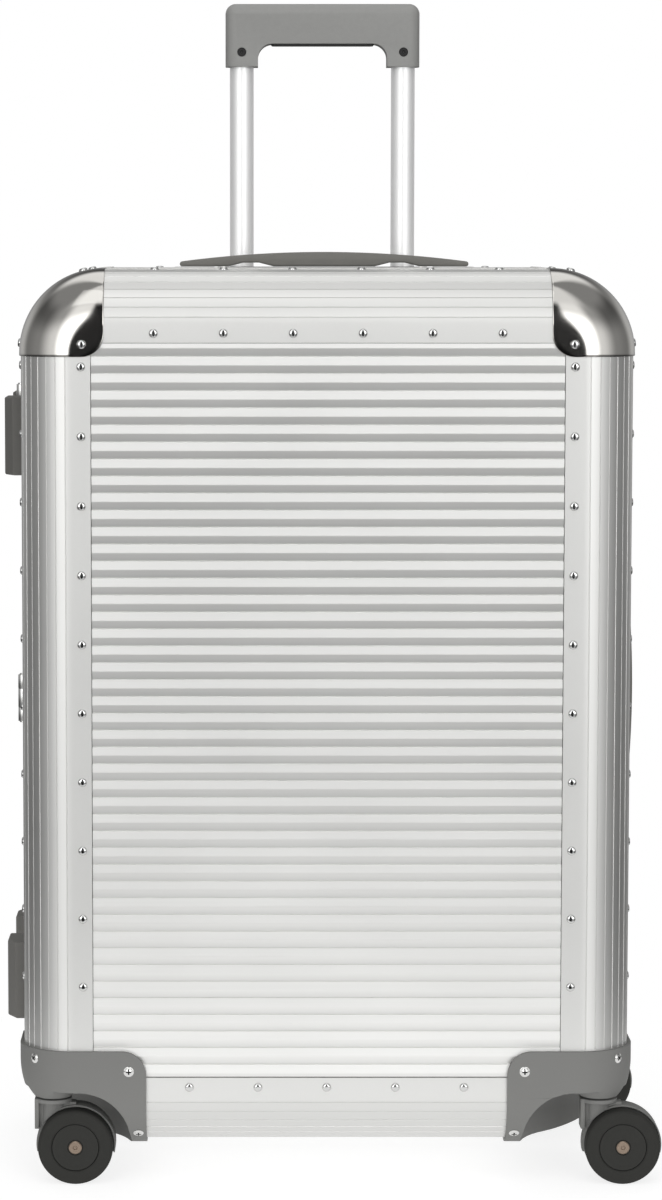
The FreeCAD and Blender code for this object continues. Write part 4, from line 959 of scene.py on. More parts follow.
@dataclass
class ShellSkin:
    """The metal of one shell: panel, side band, closing frame, edge profiles and corner caps."""

    outline: Outline
    shell: Shell
    rib_pitch: float = 12.25 * MM
    rib_land: float = 6.125 * MM
    groove_depth: float = 1.2 * MM
    groove_deepest: float = 0.95
    rows_per_pitch: int = 32
    first_groove: float = 6.8 * MM
    field_gap: float = 0.3 * MM
    field_sink: float = 0.5 * MM
    flange: float = 14 * MM
    wall: float = 2 * MM
    sheet: float = 1.2 * MM
    panel_columns: int = 33
    panel_thickness: float = 1.4 * MM
    flute_count: int = 8
    flute_first: float = 6.5
    flute_step: float = 11.0
    flute_width: float = 0.8 * MM
    flute_depth: float = 0.35 * MM
    frame_depth: float = 14 * MM
    frame_gap: float = 0.3 * MM
    frame_rise: float = 1.2 * MM
    frame_wall: float = 8.2 * MM
    frame_line: float = 0.5 * MM
    tongue_inset: float = 3.6 * MM
    tongue_half: float = 1 * MM
    tongue_height: float = 2.4 * MM
    groove_half: float = 1.6 * MM
    groove_floor: float = 4 * MM
    chamfer: float = 0.5 * MM
    band_first_land: float = 17 * MM
    hollow_steps: int = 8
    line_shares: tuple[float, ...] = (0.36, 0.64)

    @property
    def name(self) -> str:
        """What the names of the shell's pieces start with."""
        return self.shell.body

    def build(self) -> None:
        """Make every piece of the shell's metal."""
        self.panel()
        self.band()
        self.closing_frame()
        self.profiles()

    def panel(self) -> None:
        """The ribbed sheet of the large face, which ends under the edge profiles and the housings."""
        shape = self.outline
        half = shape.half_width - shape.edge - self.flange - self.field_gap
        low = shape.low + shape.edge + self.flange + self.field_gap
        high = shape.high - shape.edge - self.flange - self.field_gap
        rows = round((high - low) / self.rib_pitch * self.rows_per_pitch) + 1
        seed = bpy.data.objects.new(self.name + "_panel", bpy.data.meshes.new(self.name + "_panel"))
        bpy.context.scene.collection.objects.link(seed)
        piece = ribbed_tree().grow(
            seed,
            width=half * 2,
            height=(rows - 1) * self.rib_pitch / self.rows_per_pitch,
            columns=self.panel_columns,
            rows=rows,
            pitch=self.rib_pitch,
            land=self.rib_land,
            depth=self.groove_depth,
            deepest=self.groove_deepest,
            first_groove=self.first_groove - self.field_gap,
            finish=PANEL.build(),
        )
        middle = high - (rows - 1) * self.rib_pitch / self.rows_per_pitch / 2
        face = -(shape.half_depth - self.field_sink)
        turn = Matrix.Rotation(math.pi if self.shell is Shell.BASE else 0.0, 4, "Z")
        piece.data.transform(turn @ Matrix.Translation((0, face, middle)))
        hidden_x = shape.housing_inner + shape.lap
        hidden_z = shape.housing_top - shape.lap
        mesh = bmesh.new()
        mesh.from_mesh(piece.data)
        under = [
            face
            for face in mesh.faces
            if all(abs(vert.co.x) > hidden_x and vert.co.z < hidden_z for vert in face.verts)
        ]
        bmesh.ops.delete(mesh, geom=under, context="FACES")
        mesh.to_mesh(piece.data)
        mesh.free()
        thick = piece.modifiers.new("sheet", "SOLIDIFY")
        thick.thickness = self.panel_thickness
        thick.offset = -1
        dress(smoothed(settled(piece)), self.shell.body, "ribbed_sheet", PANEL, self.name + "_panel")

    def band(self) -> None:
        """The ribbed sheet round the sides, in its two stretches."""
        shape = self.outline
        land_level = shape.edge - self.field_sink
        half_groove = (self.rib_pitch - self.rib_land) / 2
        outside = [(land_level, self.frame_depth)]
        depth = self.band_first_land - half_groove
        while depth < shape.flat_depth - self.flange:
            for step in range(self.hollow_steps + 1):
                share = 2 * step / self.hollow_steps - 1
                level = land_level - self.groove_depth * (1 - share * share)
                outside.append((level, depth + share * half_groove))
            depth += self.rib_pitch
        outside.append((land_level, shape.flat_depth - self.frame_gap))
        outside = [point for point in outside if point[1] >= self.frame_depth]
        inner = shape.edge - self.wall - self.sheet
        section = outside + [(inner, shape.flat_depth - self.frame_gap), (inner, self.frame_depth)]
        runs = (Run.ABOVE_HOUSINGS, Run.BETWEEN_HOUSINGS)
        piece = joined(self.name + "_band", [shape.sweep(section, run, self.shell) for run in runs])
        dress(piece, self.shell.body, "ribbed_sheet", RIBBED, self.name + "_band")

    def closing_frame(self) -> None:
        """The extruded frame at the split: a tongue on the lid, a sealed groove on the base."""
        shape = self.outline
        outer, inner = shape.edge + self.frame_rise, shape.edge + self.frame_rise - self.frame_wall
        near, far, cut = self.frame_gap, self.frame_depth, self.chamfer
        section = [(outer - cut, near), (outer, near + cut)]
        for share in self.line_shares:
            line = near + (far - near) * share
            section += [(outer, line - cut), (outer - self.frame_line, line), (outer, line + cut)]
        section += [(outer, far - cut), (outer - cut, far), (inner + cut, far), (inner, far - cut)]
        section += [(inner, near + cut), (inner + cut, near)]
        seat = shape.edge - self.tongue_inset
        if self.shell is Shell.LID:
            half, rise = self.tongue_half, near - self.tongue_height
            section += [(seat - half, near), (seat - half, rise + cut), (seat - half + cut, rise)]
            section += [(seat + half - cut, rise), (seat + half, rise + cut), (seat + half, near)]
        else:
            half, floor = self.groove_half, near + self.groove_floor
            section += [(seat - half, near), (seat - half, floor), (seat + half, floor), (seat + half, near)]
        mesh = shape.sweep(section, Run.WHOLE, self.shell)
        label = self.name + "_frame"
        dress(as_object(label, mesh), self.shell.body, "frame_metal", FRAME, label)
        if self.shell is Shell.BASE:
            self.seal(seat)

    def seal(self, seat: float) -> None:
        """The hollow rubber strip in the base frame's groove.

        Args:
            seat: The reach of the groove's middle.
        """
        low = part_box("base_seal")[0].y
        floor = self.frame_gap + self.groove_floor
        crown = arc((seat, floor), self.groove_half, 180, 360, 10)
        section = [(x, floor + (y - floor) * (floor - low) / self.groove_half) for x, y in crown]
        mesh = self.outline.sweep(section, Run.WHOLE, self.shell)
        dress(as_object("base_seal_strip", mesh), "base", "seal_rubber", SEAL, "base_seal")

    def fluted_section(self) -> list[Pair]:
        """The edge profile's closed section: two flanges and a quarter round with fine flutes."""
        shape = self.outline
        depth, radius, edge = shape.flat_depth, shape.edge, self.chamfer / 2
        border = depth - self.flange
        outside = [(radius - edge, border), (radius, border + edge), (radius, depth)]
        for index in range(self.flute_count):
            angle = self.flute_first + self.flute_step * index
            spread = math.degrees(self.flute_width / 2 / radius)
            for offset in (-self.flute_step / 2, -self.flute_step / 4):
                if angle + offset > 0:
                    outside += arc((0, depth), radius, angle + offset, angle + offset, 1)[:1]
            outside += arc((0, depth), radius, angle - spread, angle - spread, 1)[:1]
            outside += arc((0, depth), radius - self.flute_depth, angle - spread / 3, angle + spread / 3, 1)
            outside += arc((0, depth), radius, angle + spread, angle + spread, 1)[:1]
            between = angle + self.flute_step / 4
            outside += arc((0, depth), radius, between, between, 1)[:1]
        face = depth + radius
        outside += [(0, face), (edge - self.flange, face), (-self.flange, face - edge)]
        inside = [(-self.flange, face - self.wall)]
        inside += arc((0, depth), radius - self.wall, 90, 0, 16)
        return outside + inside + [(radius - self.wall, depth - self.flange)]

    def profiles(self) -> None:
        """The four fluted edge profiles."""
        runs = {"left": Run.LEFT, "right": Run.RIGHT, "top": Run.TOP, "bottom": Run.BETWEEN_HOUSINGS}
        section = self.fluted_section()
        for side, run in runs.items():
            name = "%s_profile_%s" % (self.name, side)
            piece = as_object(name + "_fluted", self.outline.sweep(section, run, self.shell))
            if name == "base_profile_top":
                piece = pierced(piece, [tube.sleeve() for tube in Tube.pair("middle")])
            dress(piece, self.shell.body, "edge_profile", PROFILE, name)


def pierced(piece: Object, tools: Sequence[Object]) -> Object:
    """Cut tools out of a piece.

    Args:
        piece: The piece.
        tools: Closed objects, which are removed afterwards.

    Returns:
        The same piece.
    """
    for tool in tools:
        hole = piece.modifiers.new("hole", "BOOLEAN")
        hole.operation = "DIFFERENCE"
        hole.solver = "EXACT"
        hole.object = tool
    piece = smoothed(settled(piece))
    for tool in tools:
        bpy.data.objects.remove(tool)
    return piece


@dataclass
class CornerCap:
    """One polished cap over a top corner, a shell of even thickness with a turned-down rim."""

    outline: Outline
    shell: Shell
    side: int
    thickness: float = 1.2 * MM
    length: float = 61.5 * MM
    drop: float = 62 * MM
    reach: float = 62 * MM
    lap: float = 16 * MM
    bend_steps: int = 28
    round_steps: int = 18
    straight_steps: int = 4
    rim: float = 0.5 * MM

    def build(self) -> None:
        """Make the cap."""
        shape = self.outline
        bend = shape.corner - shape.edge
        centre_x = shape.half_width - shape.corner
        centre_z = shape.high - shape.corner
        inner, low = shape.half_width - self.length, shape.high - self.drop
        face, radius = shape.flat_depth + shape.edge + self.thickness, shape.edge + self.thickness
        line = [Station(centre_x + bend, low, 1, 0)]
        for step in range(self.bend_steps + 1):
            angle = math.pi / 2 * step / self.bend_steps
            across, up = math.cos(angle), math.sin(angle)
            line.append(Station(centre_x + bend * across, centre_z + bend * up, across, up))
        rim = self.rim_line(inner, low, centre_x + bend, shape.high - shape.edge)
        line.append(Station(inner, centre_z + bend, 0, 1))
        rings = []
        sign = self.shell.side
        for station, (edge_x, edge_z) in zip(line, rim):
            ring = [
                station.at(radius, sign * (shape.half_depth - self.reach)),
                station.at(radius, sign * shape.flat_depth),
            ]
            for step in range(1, self.round_steps + 1):
                angle = math.pi / 2 * step / self.round_steps
                depth = shape.flat_depth + radius * math.sin(angle)
                ring.append(station.at(radius * math.cos(angle), sign * depth))
            base = Vector((station.x, sign * face, station.z))
            edge = Vector((edge_x, sign * face, edge_z))
            shares = [step / self.straight_steps for step in range(1, self.straight_steps + 1)]
            ring += [base.lerp(edge, share) for share in shares]
            rings.append(ring)
        mesh = skinned(rings, closed_ring=False)
        for vert in mesh.verts:
            vert.co.x *= self.side
        bmesh.ops.remove_doubles(mesh, verts=mesh.verts, dist=MERGE)
        bmesh.ops.recalc_face_normals(mesh, faces=mesh.faces)
        centre = Vector((0, 0, shape.high / 2))
        outward = sum(facet.normal.dot(facet.calc_center_median() - centre) for facet in mesh.faces)
        if outward < 0:
            bmesh.ops.reverse_faces(mesh, faces=mesh.faces)
        hand = "left" if self.side < 0 else "right"
        name = "%s_cap_%s" % (self.shell.body, hand)
        piece = as_object(name + "_polished", mesh, outward=False)
        thick = piece.modifiers.new("sheet", "SOLIDIFY")
        thick.thickness = self.thickness
        thick.offset = -1
        piece = bevelled(settled(piece), self.rim, 3, math.radians(50))
        dress(piece, self.shell.body, "polished_steel", POLISHED, name)

    def rim_line(self, inner: float, low: float, outer_x: float, high: float) -> list[Pair]:
        """The cap's rim on the large face, with as many points as its outer line.

        Args:
            inner: The X where the rim runs up to the top.
            low: The Z where the rim runs out to the side.
            outer_x: The X where the rounding starts.
            high: The Z where the rounding starts.

        Returns:
            Points as (x, z).
        """
        turn = arc((inner + self.lap, low + self.lap), self.lap, 270, 180, self.bend_steps)
        return [(outer_x, low)] + turn + [(inner, high)]


@dataclass
class Fasteners:
    """The rivets or the screws of one shell, set on the frame's own fasteners."""

    shell: Shell
    steps: int = 16
    slot_long: float = 0.6
    slot_wide: float = 0.17

    def build(self, tree: Tree) -> None:
        """Make the rivets and the screws.

        Args:
            tree: The tree that sets heads on points.
        """
        name = self.shell.body
        self.group(name + "_rivets", self.rivet_head(), tree, CHROME, "rivet_chrome")
        self.group(name + "_screws", self.screw_head(), tree, SCREW, "screw_steel")
        # Painted shade: a near-black piece in each screw's cross slot.
        slots = self.group(name + "_screws", self.slot_floor(), tree, RECESS, "screw_steel", "_slots")
        LOG.info("%s: the dark floors of the cross slots", slots.name)

    def group(
        self, node: str, head: Object, tree: Tree, finish: Finish, slot: str, suffix: str = "_set"
    ) -> Object:
        """Set one kind of head on all its spots.

        Args:
            node: The frame node of the fasteners.
            head: A head of radius 1 that faces +Z.
            tree: The tree that sets heads on points.
            finish: The heads' finish.
            slot: The record's material slot.
            suffix: What the piece's name adds to the node's.

        Returns:
            The piece.
        """
        spots = spots_of(node)
        data = bpy.data.meshes.new(node)
        data.from_pydata([spot.foot for spot in spots], [], [])
        facing = data.attributes.new("facing", "FLOAT_VECTOR", "POINT")
        facing.data.foreach_set("vector", [value for spot in spots for value in spot.facing])
        piece = bpy.data.objects.new(node + suffix, data)
        bpy.context.scene.collection.objects.link(piece)
        tree.grow(piece, head=head, size=spots[0].radius, finish=finish.build())
        bpy.data.objects.remove(head)
        return dress(piece, self.shell.body, slot, finish, node)

    def rivet_head(self) -> Object:
        """A domed head with a small foot, of radius 1."""
        height = 0.545
        profile = [(0.99, 0.0), (1.0, 0.06)]
        for share in (0.95, 0.88, 0.78, 0.64, 0.48, 0.3, 0.12):
            profile.append((share, height * math.sqrt(1 - share**4)))
        return self.head("rivet_head", profile, height)

    def screw_head(self) -> Object:
        """A domed head with a cross slot, of radius 1."""
        height = 0.42
        ball = (1 + height * height) / (2 * height)
        profile = [(0.99, 0.0), (1.0, 0.05)]
        for share in (0.9, 0.74, 0.55, 0.3):
            profile.append((share, math.sqrt(ball * ball - share * share) - (ball - height)))
        screw = self.head("screw_head", profile, height)
        return pierced(screw, [as_object("slot", arm) for arm in self.cross(((0.72, 0.1), (1.06, 0.6)))])

    def slot_floor(self) -> Object:
        """A near-black piece in the floor of a screw's cross slot, as painted shade."""
        return joined("slot_floor", self.cross(((0.7, 0.09), (0.78, 0.2))))

    def cross(self, levels: Sequence[Pair]) -> list[bmesh.types.BMesh]:
        """The two arms of a cross slot, of a head of radius 1.

        Args:
            levels: Pairs of a share of the full width and the height there.

        Returns:
            The arms.
        """
        arms = []
        for half_x, half_y in ((self.slot_long, self.slot_wide), (self.slot_wide, self.slot_long)):
            corners = [(half_x, half_y), (-half_x, half_y), (-half_x, -half_y), (half_x, -half_y)]
            arms.append(skinned([[Vector((x * s, y * s, z)) for x, y in corners] for s, z in levels]))
        return arms

    def head(self, name: str, profile: Sequence[Pair], height: float) -> Object:
        """A turned head, closed at its crown and its foot.

        Args:
            name: The object's name.
            profile: Points as (radius, height), from the foot up.
            height: The crown's height.

        Returns:
            The head.
        """
        angles = [2 * math.pi * step / self.steps for step in range(self.steps)]
        rings = [[Vector((r * math.cos(a), r * math.sin(a), z)) for a in angles] for r, z in profile]
        mesh = skinned(rings)
        crown = max((f for f in mesh.faces if len(f.verts) > 4), key=lambda f: f.calc_center_median().z)
        tip = bmesh.ops.poke(mesh, faces=[crown])["verts"][0]
        tip.co.z = height
        return as_object(name, mesh)


# ---------------------------------------------------------------------------
# Telescopic handle
# ---------------------------------------------------------------------------


@dataclass
class Tube:
    """One tube of the telescopic handle, with its ends rounded."""

    stage: str
    side: int
    wall: float = 1 * MM
    edge: float = 0.3 * MM
    play: float = 0.3 * MM
    steps: int = 48

    @classmethod
    def pair(cls, stage: str) -> list["Tube"]:
        """The left and the right tube of a stage."""
        return [cls(stage, -1), cls(stage, 1)]

    def place(self) -> tuple[Vector, float, float]:
        """The tube's foot, its outer radius and its length, from the frame."""
        low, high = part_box("handle_%s_tubes" % self.stage)
        radius = (high.y - low.y) / 2
        foot = Vector(((high.x - radius) * self.side, (low.y + high.y) / 2, low.z))
        return foot, radius, high.z - low.z

    def mesh(self) -> bmesh.types.BMesh:
        """The tube's wall."""
        foot, radius, length = self.place()
        bore, edge = radius - self.wall, self.edge
        profile = [(radius - edge, 0.0), (radius, edge), (radius, length - edge), (radius - edge, length)]
        profile += [(bore + edge, length), (bore, length - edge), (bore, edge), (bore + edge, 0.0)]
        return turned(profile, foot, "Z", self.steps)

    def sleeve(self) -> Object:
        """A closed tool that leaves the tube its way through a sheet."""
        foot, radius, length = self.place()
        rings = []
        for height in (0.0, length * 2):
            angles = [2 * math.pi * step / self.steps for step in range(self.steps)]
            across = radius + self.play
            rings.append(
                [foot + Vector((across * math.cos(a), across * math.sin(a), height)) for a in angles]
            )
        return as_object("sleeve", skinned(rings))


@dataclass
class PullHandle:
    """The telescopic handle: three stages of tube, the grip, its button and the bezel."""

    grip_edge: float = 2.2 * MM
    bezel_edge: float = 0.35 * MM
    button_edge: float = 1.2 * MM
    screw_sides: int = 32
    screw_radius: float = 3.35 * MM
    screw_height: float = 11 * MM
    screw_sink: float = 0.3 * MM
    socket_radius: float = 1.5 * MM
    hole_depth: float = 1.9 * MM

    def build(self) -> None:
        """Make every piece of the handle."""
        bodies = {"outer": "base", "middle": "handle_lower_stage", "inner": "handle_upper_stage"}
        for stage, body in bodies.items():
            piece = joined("handle_%s_pair" % stage, [tube.mesh() for tube in Tube.pair(stage)])
            dress(piece, body, "tube_metal", TUBE, "handle_%s_tubes" % stage)
        grip = cad_copy("handle_grip", "handle_grip_moulded", self.grip_edge, 4)
        dress(grip, "handle_upper_stage", "grip_plastic", GRIP, "handle_grip")
        screws = joined("handle_grip_screws", [self.screw(tube) for tube in Tube.pair("inner")])
        dress(screws, "handle_upper_stage", "screw_steel", RECESS)
        button = cad_copy("handle_button", "handle_button_moulded", self.button_edge, 3)
        dress(button, "release_button", "button_plastic", BUTTON, "handle_button")
        bezel = cad_copy("handle_bezel", "handle_bezel_polished", self.bezel_edge, 2)
        dress(bezel, "base", "polished_steel", POLISHED, "handle_bezel")

    def screw(self, tube: Tube) -> bmesh.types.BMesh:
        """The dark socket screw sunk into the grip over a tube.

        Args:
            tube: The tube.

        Returns:
            The bmesh.
        """
        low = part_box("handle_grip")[0]
        centre = Vector((tube.place()[0].x, low.y, low.z + self.screw_height))
        outer, socket, head = self.screw_radius, self.socket_radius, self.screw_sink
        foot, middle, chamfer = self.hole_depth, 0.2 * MM, 0.4 * MM
        profile = [(middle, foot), (outer, foot), (outer, head + chamfer), (outer - chamfer, head)]
        profile += [(socket, head), (socket - middle, foot - chamfer), (middle, foot - chamfer)]
        return turned(profile, centre, "Y", self.screw_sides)


# ---------------------------------------------------------------------------
# Hardware on the shells
# ---------------------------------------------------------------------------


@dataclass(frozen=True)
class Fitting:
    """A frame node that keeps its shape and gets rounded edges and a finish."""

    node: str
    body: str
    slot: str
    finish: Finish
    edge: float
    steps: int = 2

    def build(self) -> None:
        """Make the fitting."""
        piece = cad_copy(self.node, self.node + "_finished", self.edge, self.steps)
        dress(piece, self.body, self.slot, self.finish, self.node)


def fittings() -> list[Fitting]:
    """The fittings of the whole case."""
    found = [
        Fitting("top_handle", "top_strap", "strap_plastic", STRAP, 1.6 * MM, 3),
        Fitting("side_handle", "side_strap", "strap_plastic", STRAP, 1.6 * MM, 3),
        Fitting("strap_anchors", "base", "frame_metal", FRAME, 0.5 * MM),
        Fitting("hinge_base_leaves", "base", "frame_metal", FRAME, 0.35 * MM),
        Fitting("hinge_lid_leaves", "lid", "frame_metal", FRAME, 0.35 * MM),
        Fitting("hinge_pins", "base", "screw_steel", SCREW, 0.2 * MM),
        Fitting("latch_plates", "base", "polished_steel", POLISHED, 0.4 * MM),
        Fitting("latch_flap_upper", "upper_latch", "polished_steel", POLISHED, 0.5 * MM, 3),
        Fitting("latch_flap_lower", "lower_latch", "polished_steel", POLISHED, 0.5 * MM, 3),
        Fitting("latch_keepers", "lid", "polished_steel", POLISHED, 0.6 * MM, 3),
    ]
    for shell in Shell:
        name = shell.body
        found.append(Fitting(name + "_feet", name, "bumper_rubber", BUMPER, 0.0))
        for side in ("left", "right"):
            node = "%s_housing_%s" % (name, side)
            found.append(Fitting(node, name, "moulded_grey", MOULDED, 0.0))
    return found


@dataclass
class Caster:
    """One swivel caster: a moulded fork, and an axle with two hubs and their tyres."""

    place: str
    gap: float = 12 * MM
    hub: float = 17.4 * MM
    shoulder: float = 3 * MM
    rim_line: float = 17.4 * MM
    recess: float = 0.4 * MM
    axle: float = 2.5 * MM
    axle_head: float = 4.75 * MM
    fork_edge: float = 0.3 * MM

    def build(self) -> None:
        """Make the caster's three pieces and its axle ends."""
        name = "caster_" + self.place
        fork = cad_copy(name + "_fork", name + "_fork_moulded", self.fork_edge, 2)
        dress(fork, name, "moulded_grey", MOULDED, name + "_fork")
        low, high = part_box(name + "_tyres")
        centre, radius, half = (low + high) / 2, (high.z - low.z) / 2, (high.y - low.y) / 2
        wheels = "wheels_" + self.place
        tyre = self.mirrored(name + "_tyre_pair", centre, self.tyre_profile(radius, half))
        dress(tyre, wheels, "tyre_rubber", TYRE, name + "_tyres")
        hubs = self.mirrored(name + "_hub_pair", centre, self.hub_profile(half))
        dress(hubs, wheels, "hub_plastic", HUB, name + "_hubs")
        ends = self.mirrored(name + "_axle_ends", centre, self.axle_profile(half))
        dress(ends, wheels, "screw_steel", AXLE)

    def mirrored(self, name: str, centre: Vector, profile: Sequence[Pair]) -> Object:
        """A turned profile and its mirror image across the caster's middle.

        Args:
            name: The piece's name.
            centre: The middle of the axle.
            profile: Points as (radius, distance from the middle).

        Returns:
            The piece.
        """
        sides = [[(radius, along * side) for radius, along in profile] for side in (-1, 1)]
        return joined(name, [turned(side, centre, "Y") for side in sides])

    def tyre_profile(self, radius: float, half: float) -> list[Pair]:
        """The tyre's section: a rounded shoulder, a fine rim line and a flat tread."""
        near, shoulder = self.gap / 2, self.shoulder
        lip = self.recess
        points = [(self.hub, near), (radius - lip * 3, near), (radius, near + lip * 3)]
        points += arc((radius - shoulder, half - shoulder), shoulder, 0, 90, 8)
        points += [(self.hub + lip * 2, half), (self.hub + lip, half - lip), (self.hub, half - lip)]
        return points

    def hub_profile(self, half: float) -> list[Pair]:
        """The hub's section: a dished face with a raised rim round the axle."""
        face, near = half - self.recess, self.gap / 2
        edge = self.hub - self.recess / 2
        return [
            (self.axle, near),
            (edge, near),
            (edge, face - self.recess * 2),
            (edge - self.recess, face),
            (edge - 2.2 * MM, face),
            (edge - 3.2 * MM, face - 0.5 * MM),
            (8.2 * MM, face - 0.5 * MM),
            (7.4 * MM, face - 0.1 * MM),
            (5.9 * MM, face - 0.1 * MM),
            (5.4 * MM, face - 0.9 * MM),
            (self.axle, face - 0.9 * MM),
        ]

    def axle_profile(self, half: float) -> list[Pair]:
        """The axle's riveted end."""
        return [
            (0.2 * MM, 0.0),
            (self.axle, 0.0),
            (self.axle, half - self.recess - 0.9 * MM),
            (self.axle_head, half - self.recess - 0.9 * MM),
            (self.axle_head, half - self.recess),
            (self.axle_head - 0.5 * MM, half),
            (1.6 * MM, half),
            (1.2 * MM, half - 0.5 * MM),
            (0.2 * MM, half - 0.5 * MM),
        ]


# ---------------------------------------------------------------------------
# The inside
# ---------------------------------------------------------------------------


@dataclass
class Lining:
    """A shell's cloth lining with a bound rim and stitched seams."""

    outline: Outline
    shell: Shell
    inset: float = 5 * MM
    thickness: float = 1.5 * MM
    frame_depth: float = 14 * MM
    binding_radius: float = 1.7 * MM
    seam_depths: tuple[float, ...] = (24 * MM, 70 * MM)
    well_clearance: float = 25 * MM
    stitch_step: float = 4.2 * MM
    stitch_length: float = 2.9 * MM
    stitch_radius: float = 0.32 * MM
    stitch_sides: int = 6

    def build(self, tree: Tree) -> None:
        """Make the lining, its binding and its stitches.

        Args:
            tree: The tree that lays stitches along lines.
        """
        name = self.shell.body
        cloth = cad_copy(name + "_lining", name + "_lining_cloth", 1.1 * MM, 2)
        dress(cloth, name, "lining_cloth", LINING, name + "_lining")
        reach = self.outline.edge - self.inset - self.thickness
        ring = arc((reach, self.frame_depth + self.binding_radius), self.binding_radius, 0, 330, 11)
        binding = as_object(name + "_binding", self.outline.sweep(ring, Run.WHOLE, self.shell))
        dress(binding, name, "lining_cloth", BINDING)
        self.stitches(name + "_seams", self.seams(reach - 0.1 * MM), tree)

    def seams(self, reach: float) -> list[list[Vector]]:
        """The lines of the seams: one all round by the rim, and one deeper that stays clear of the wells.

        Args:
            reach: The seams' reach from the outline's base line.

        Returns:
            Each seam's points.
        """
        shape, side = self.outline, self.shell.side
        near, deep = (side * depth for depth in self.seam_depths)
        rim = [s.at(reach, near) for s in shape.stations(Run.WHOLE)]
        above = [s.at(reach, deep) for s in shape.stations(Run.ABOVE_HOUSINGS)]
        for end in (above[0], above[-1]):
            end.z = shape.housing_top + self.well_clearance
        inner = shape.housing_inner - self.well_clearance
        below = [Station(x, shape.low + shape.edge, 0, -1).at(reach, deep) for x in (-inner, inner)]
        return [rim + rim[:1], above, below]

    def stitches(self, name: str, lines: Sequence[Sequence[Vector]], tree: Tree) -> None:
        """Lay stitches along lines.

        Args:
            name: The piece's name.
            lines: Each seam's points.
            tree: The tree that lays stitches along lines.
        """
        points: list[Vector] = []
        edges: list[tuple[int, int]] = []
        for line in lines:
            start = len(points)
            points += line
            edges += [(start + i, start + i + 1) for i in range(len(line) - 1)]
        data = bpy.data.meshes.new(name)
        data.from_pydata(points, edges, [])
        piece = bpy.data.objects.new(name, data)
        bpy.context.scene.collection.objects.link(piece)
        thread = self.thread()
        tree.grow(piece, thread=thread, step=self.stitch_step, finish=THREAD.build())
        bpy.data.objects.remove(thread)
        dress(piece, self.shell.body, "lining_cloth", THREAD)

    def thread(self) -> Object:
        """One stitch along X: a short rod with tapered ends."""
        half, radius = self.stitch_length / 2, self.stitch_radius
        rings = []
        for along, share in ((-1.0, 0.35), (-0.75, 0.9), (0.0, 1.15), (0.75, 0.9), (1.0, 0.35)):
            angles = [2 * math.pi * step / self.stitch_sides for step in range(self.stitch_sides)]
            size = radius * share
            rings.append([Vector((half * along, size * math.cos(a), size * math.sin(a))) for a in angles])
        return as_object("thread", skinned(rings))


# ---------------------------------------------------------------------------
# Studio
# ---------------------------------------------------------------------------


@dataclass(frozen=True)
class Softbox:
    """A square area light that faces a point."""

    name: str
    place: tuple[float, float, float]
    aim: tuple[float, float, float]
    size: float
    power: float

    def build(self) -> None:
        """Make the light."""
        light = bpy.data.lights.new(self.name, "AREA")
        light.size = self.size
        light.energy = self.power
        lamp = bpy.data.objects.new(self.name, light)
        lamp.location = self.place
        aim = Vector(self.aim) - Vector(self.place)
        lamp.rotation_euler = aim.to_track_quat("-Z", "Y").to_euler()
        bpy.context.scene.collection.objects.link(lamp)


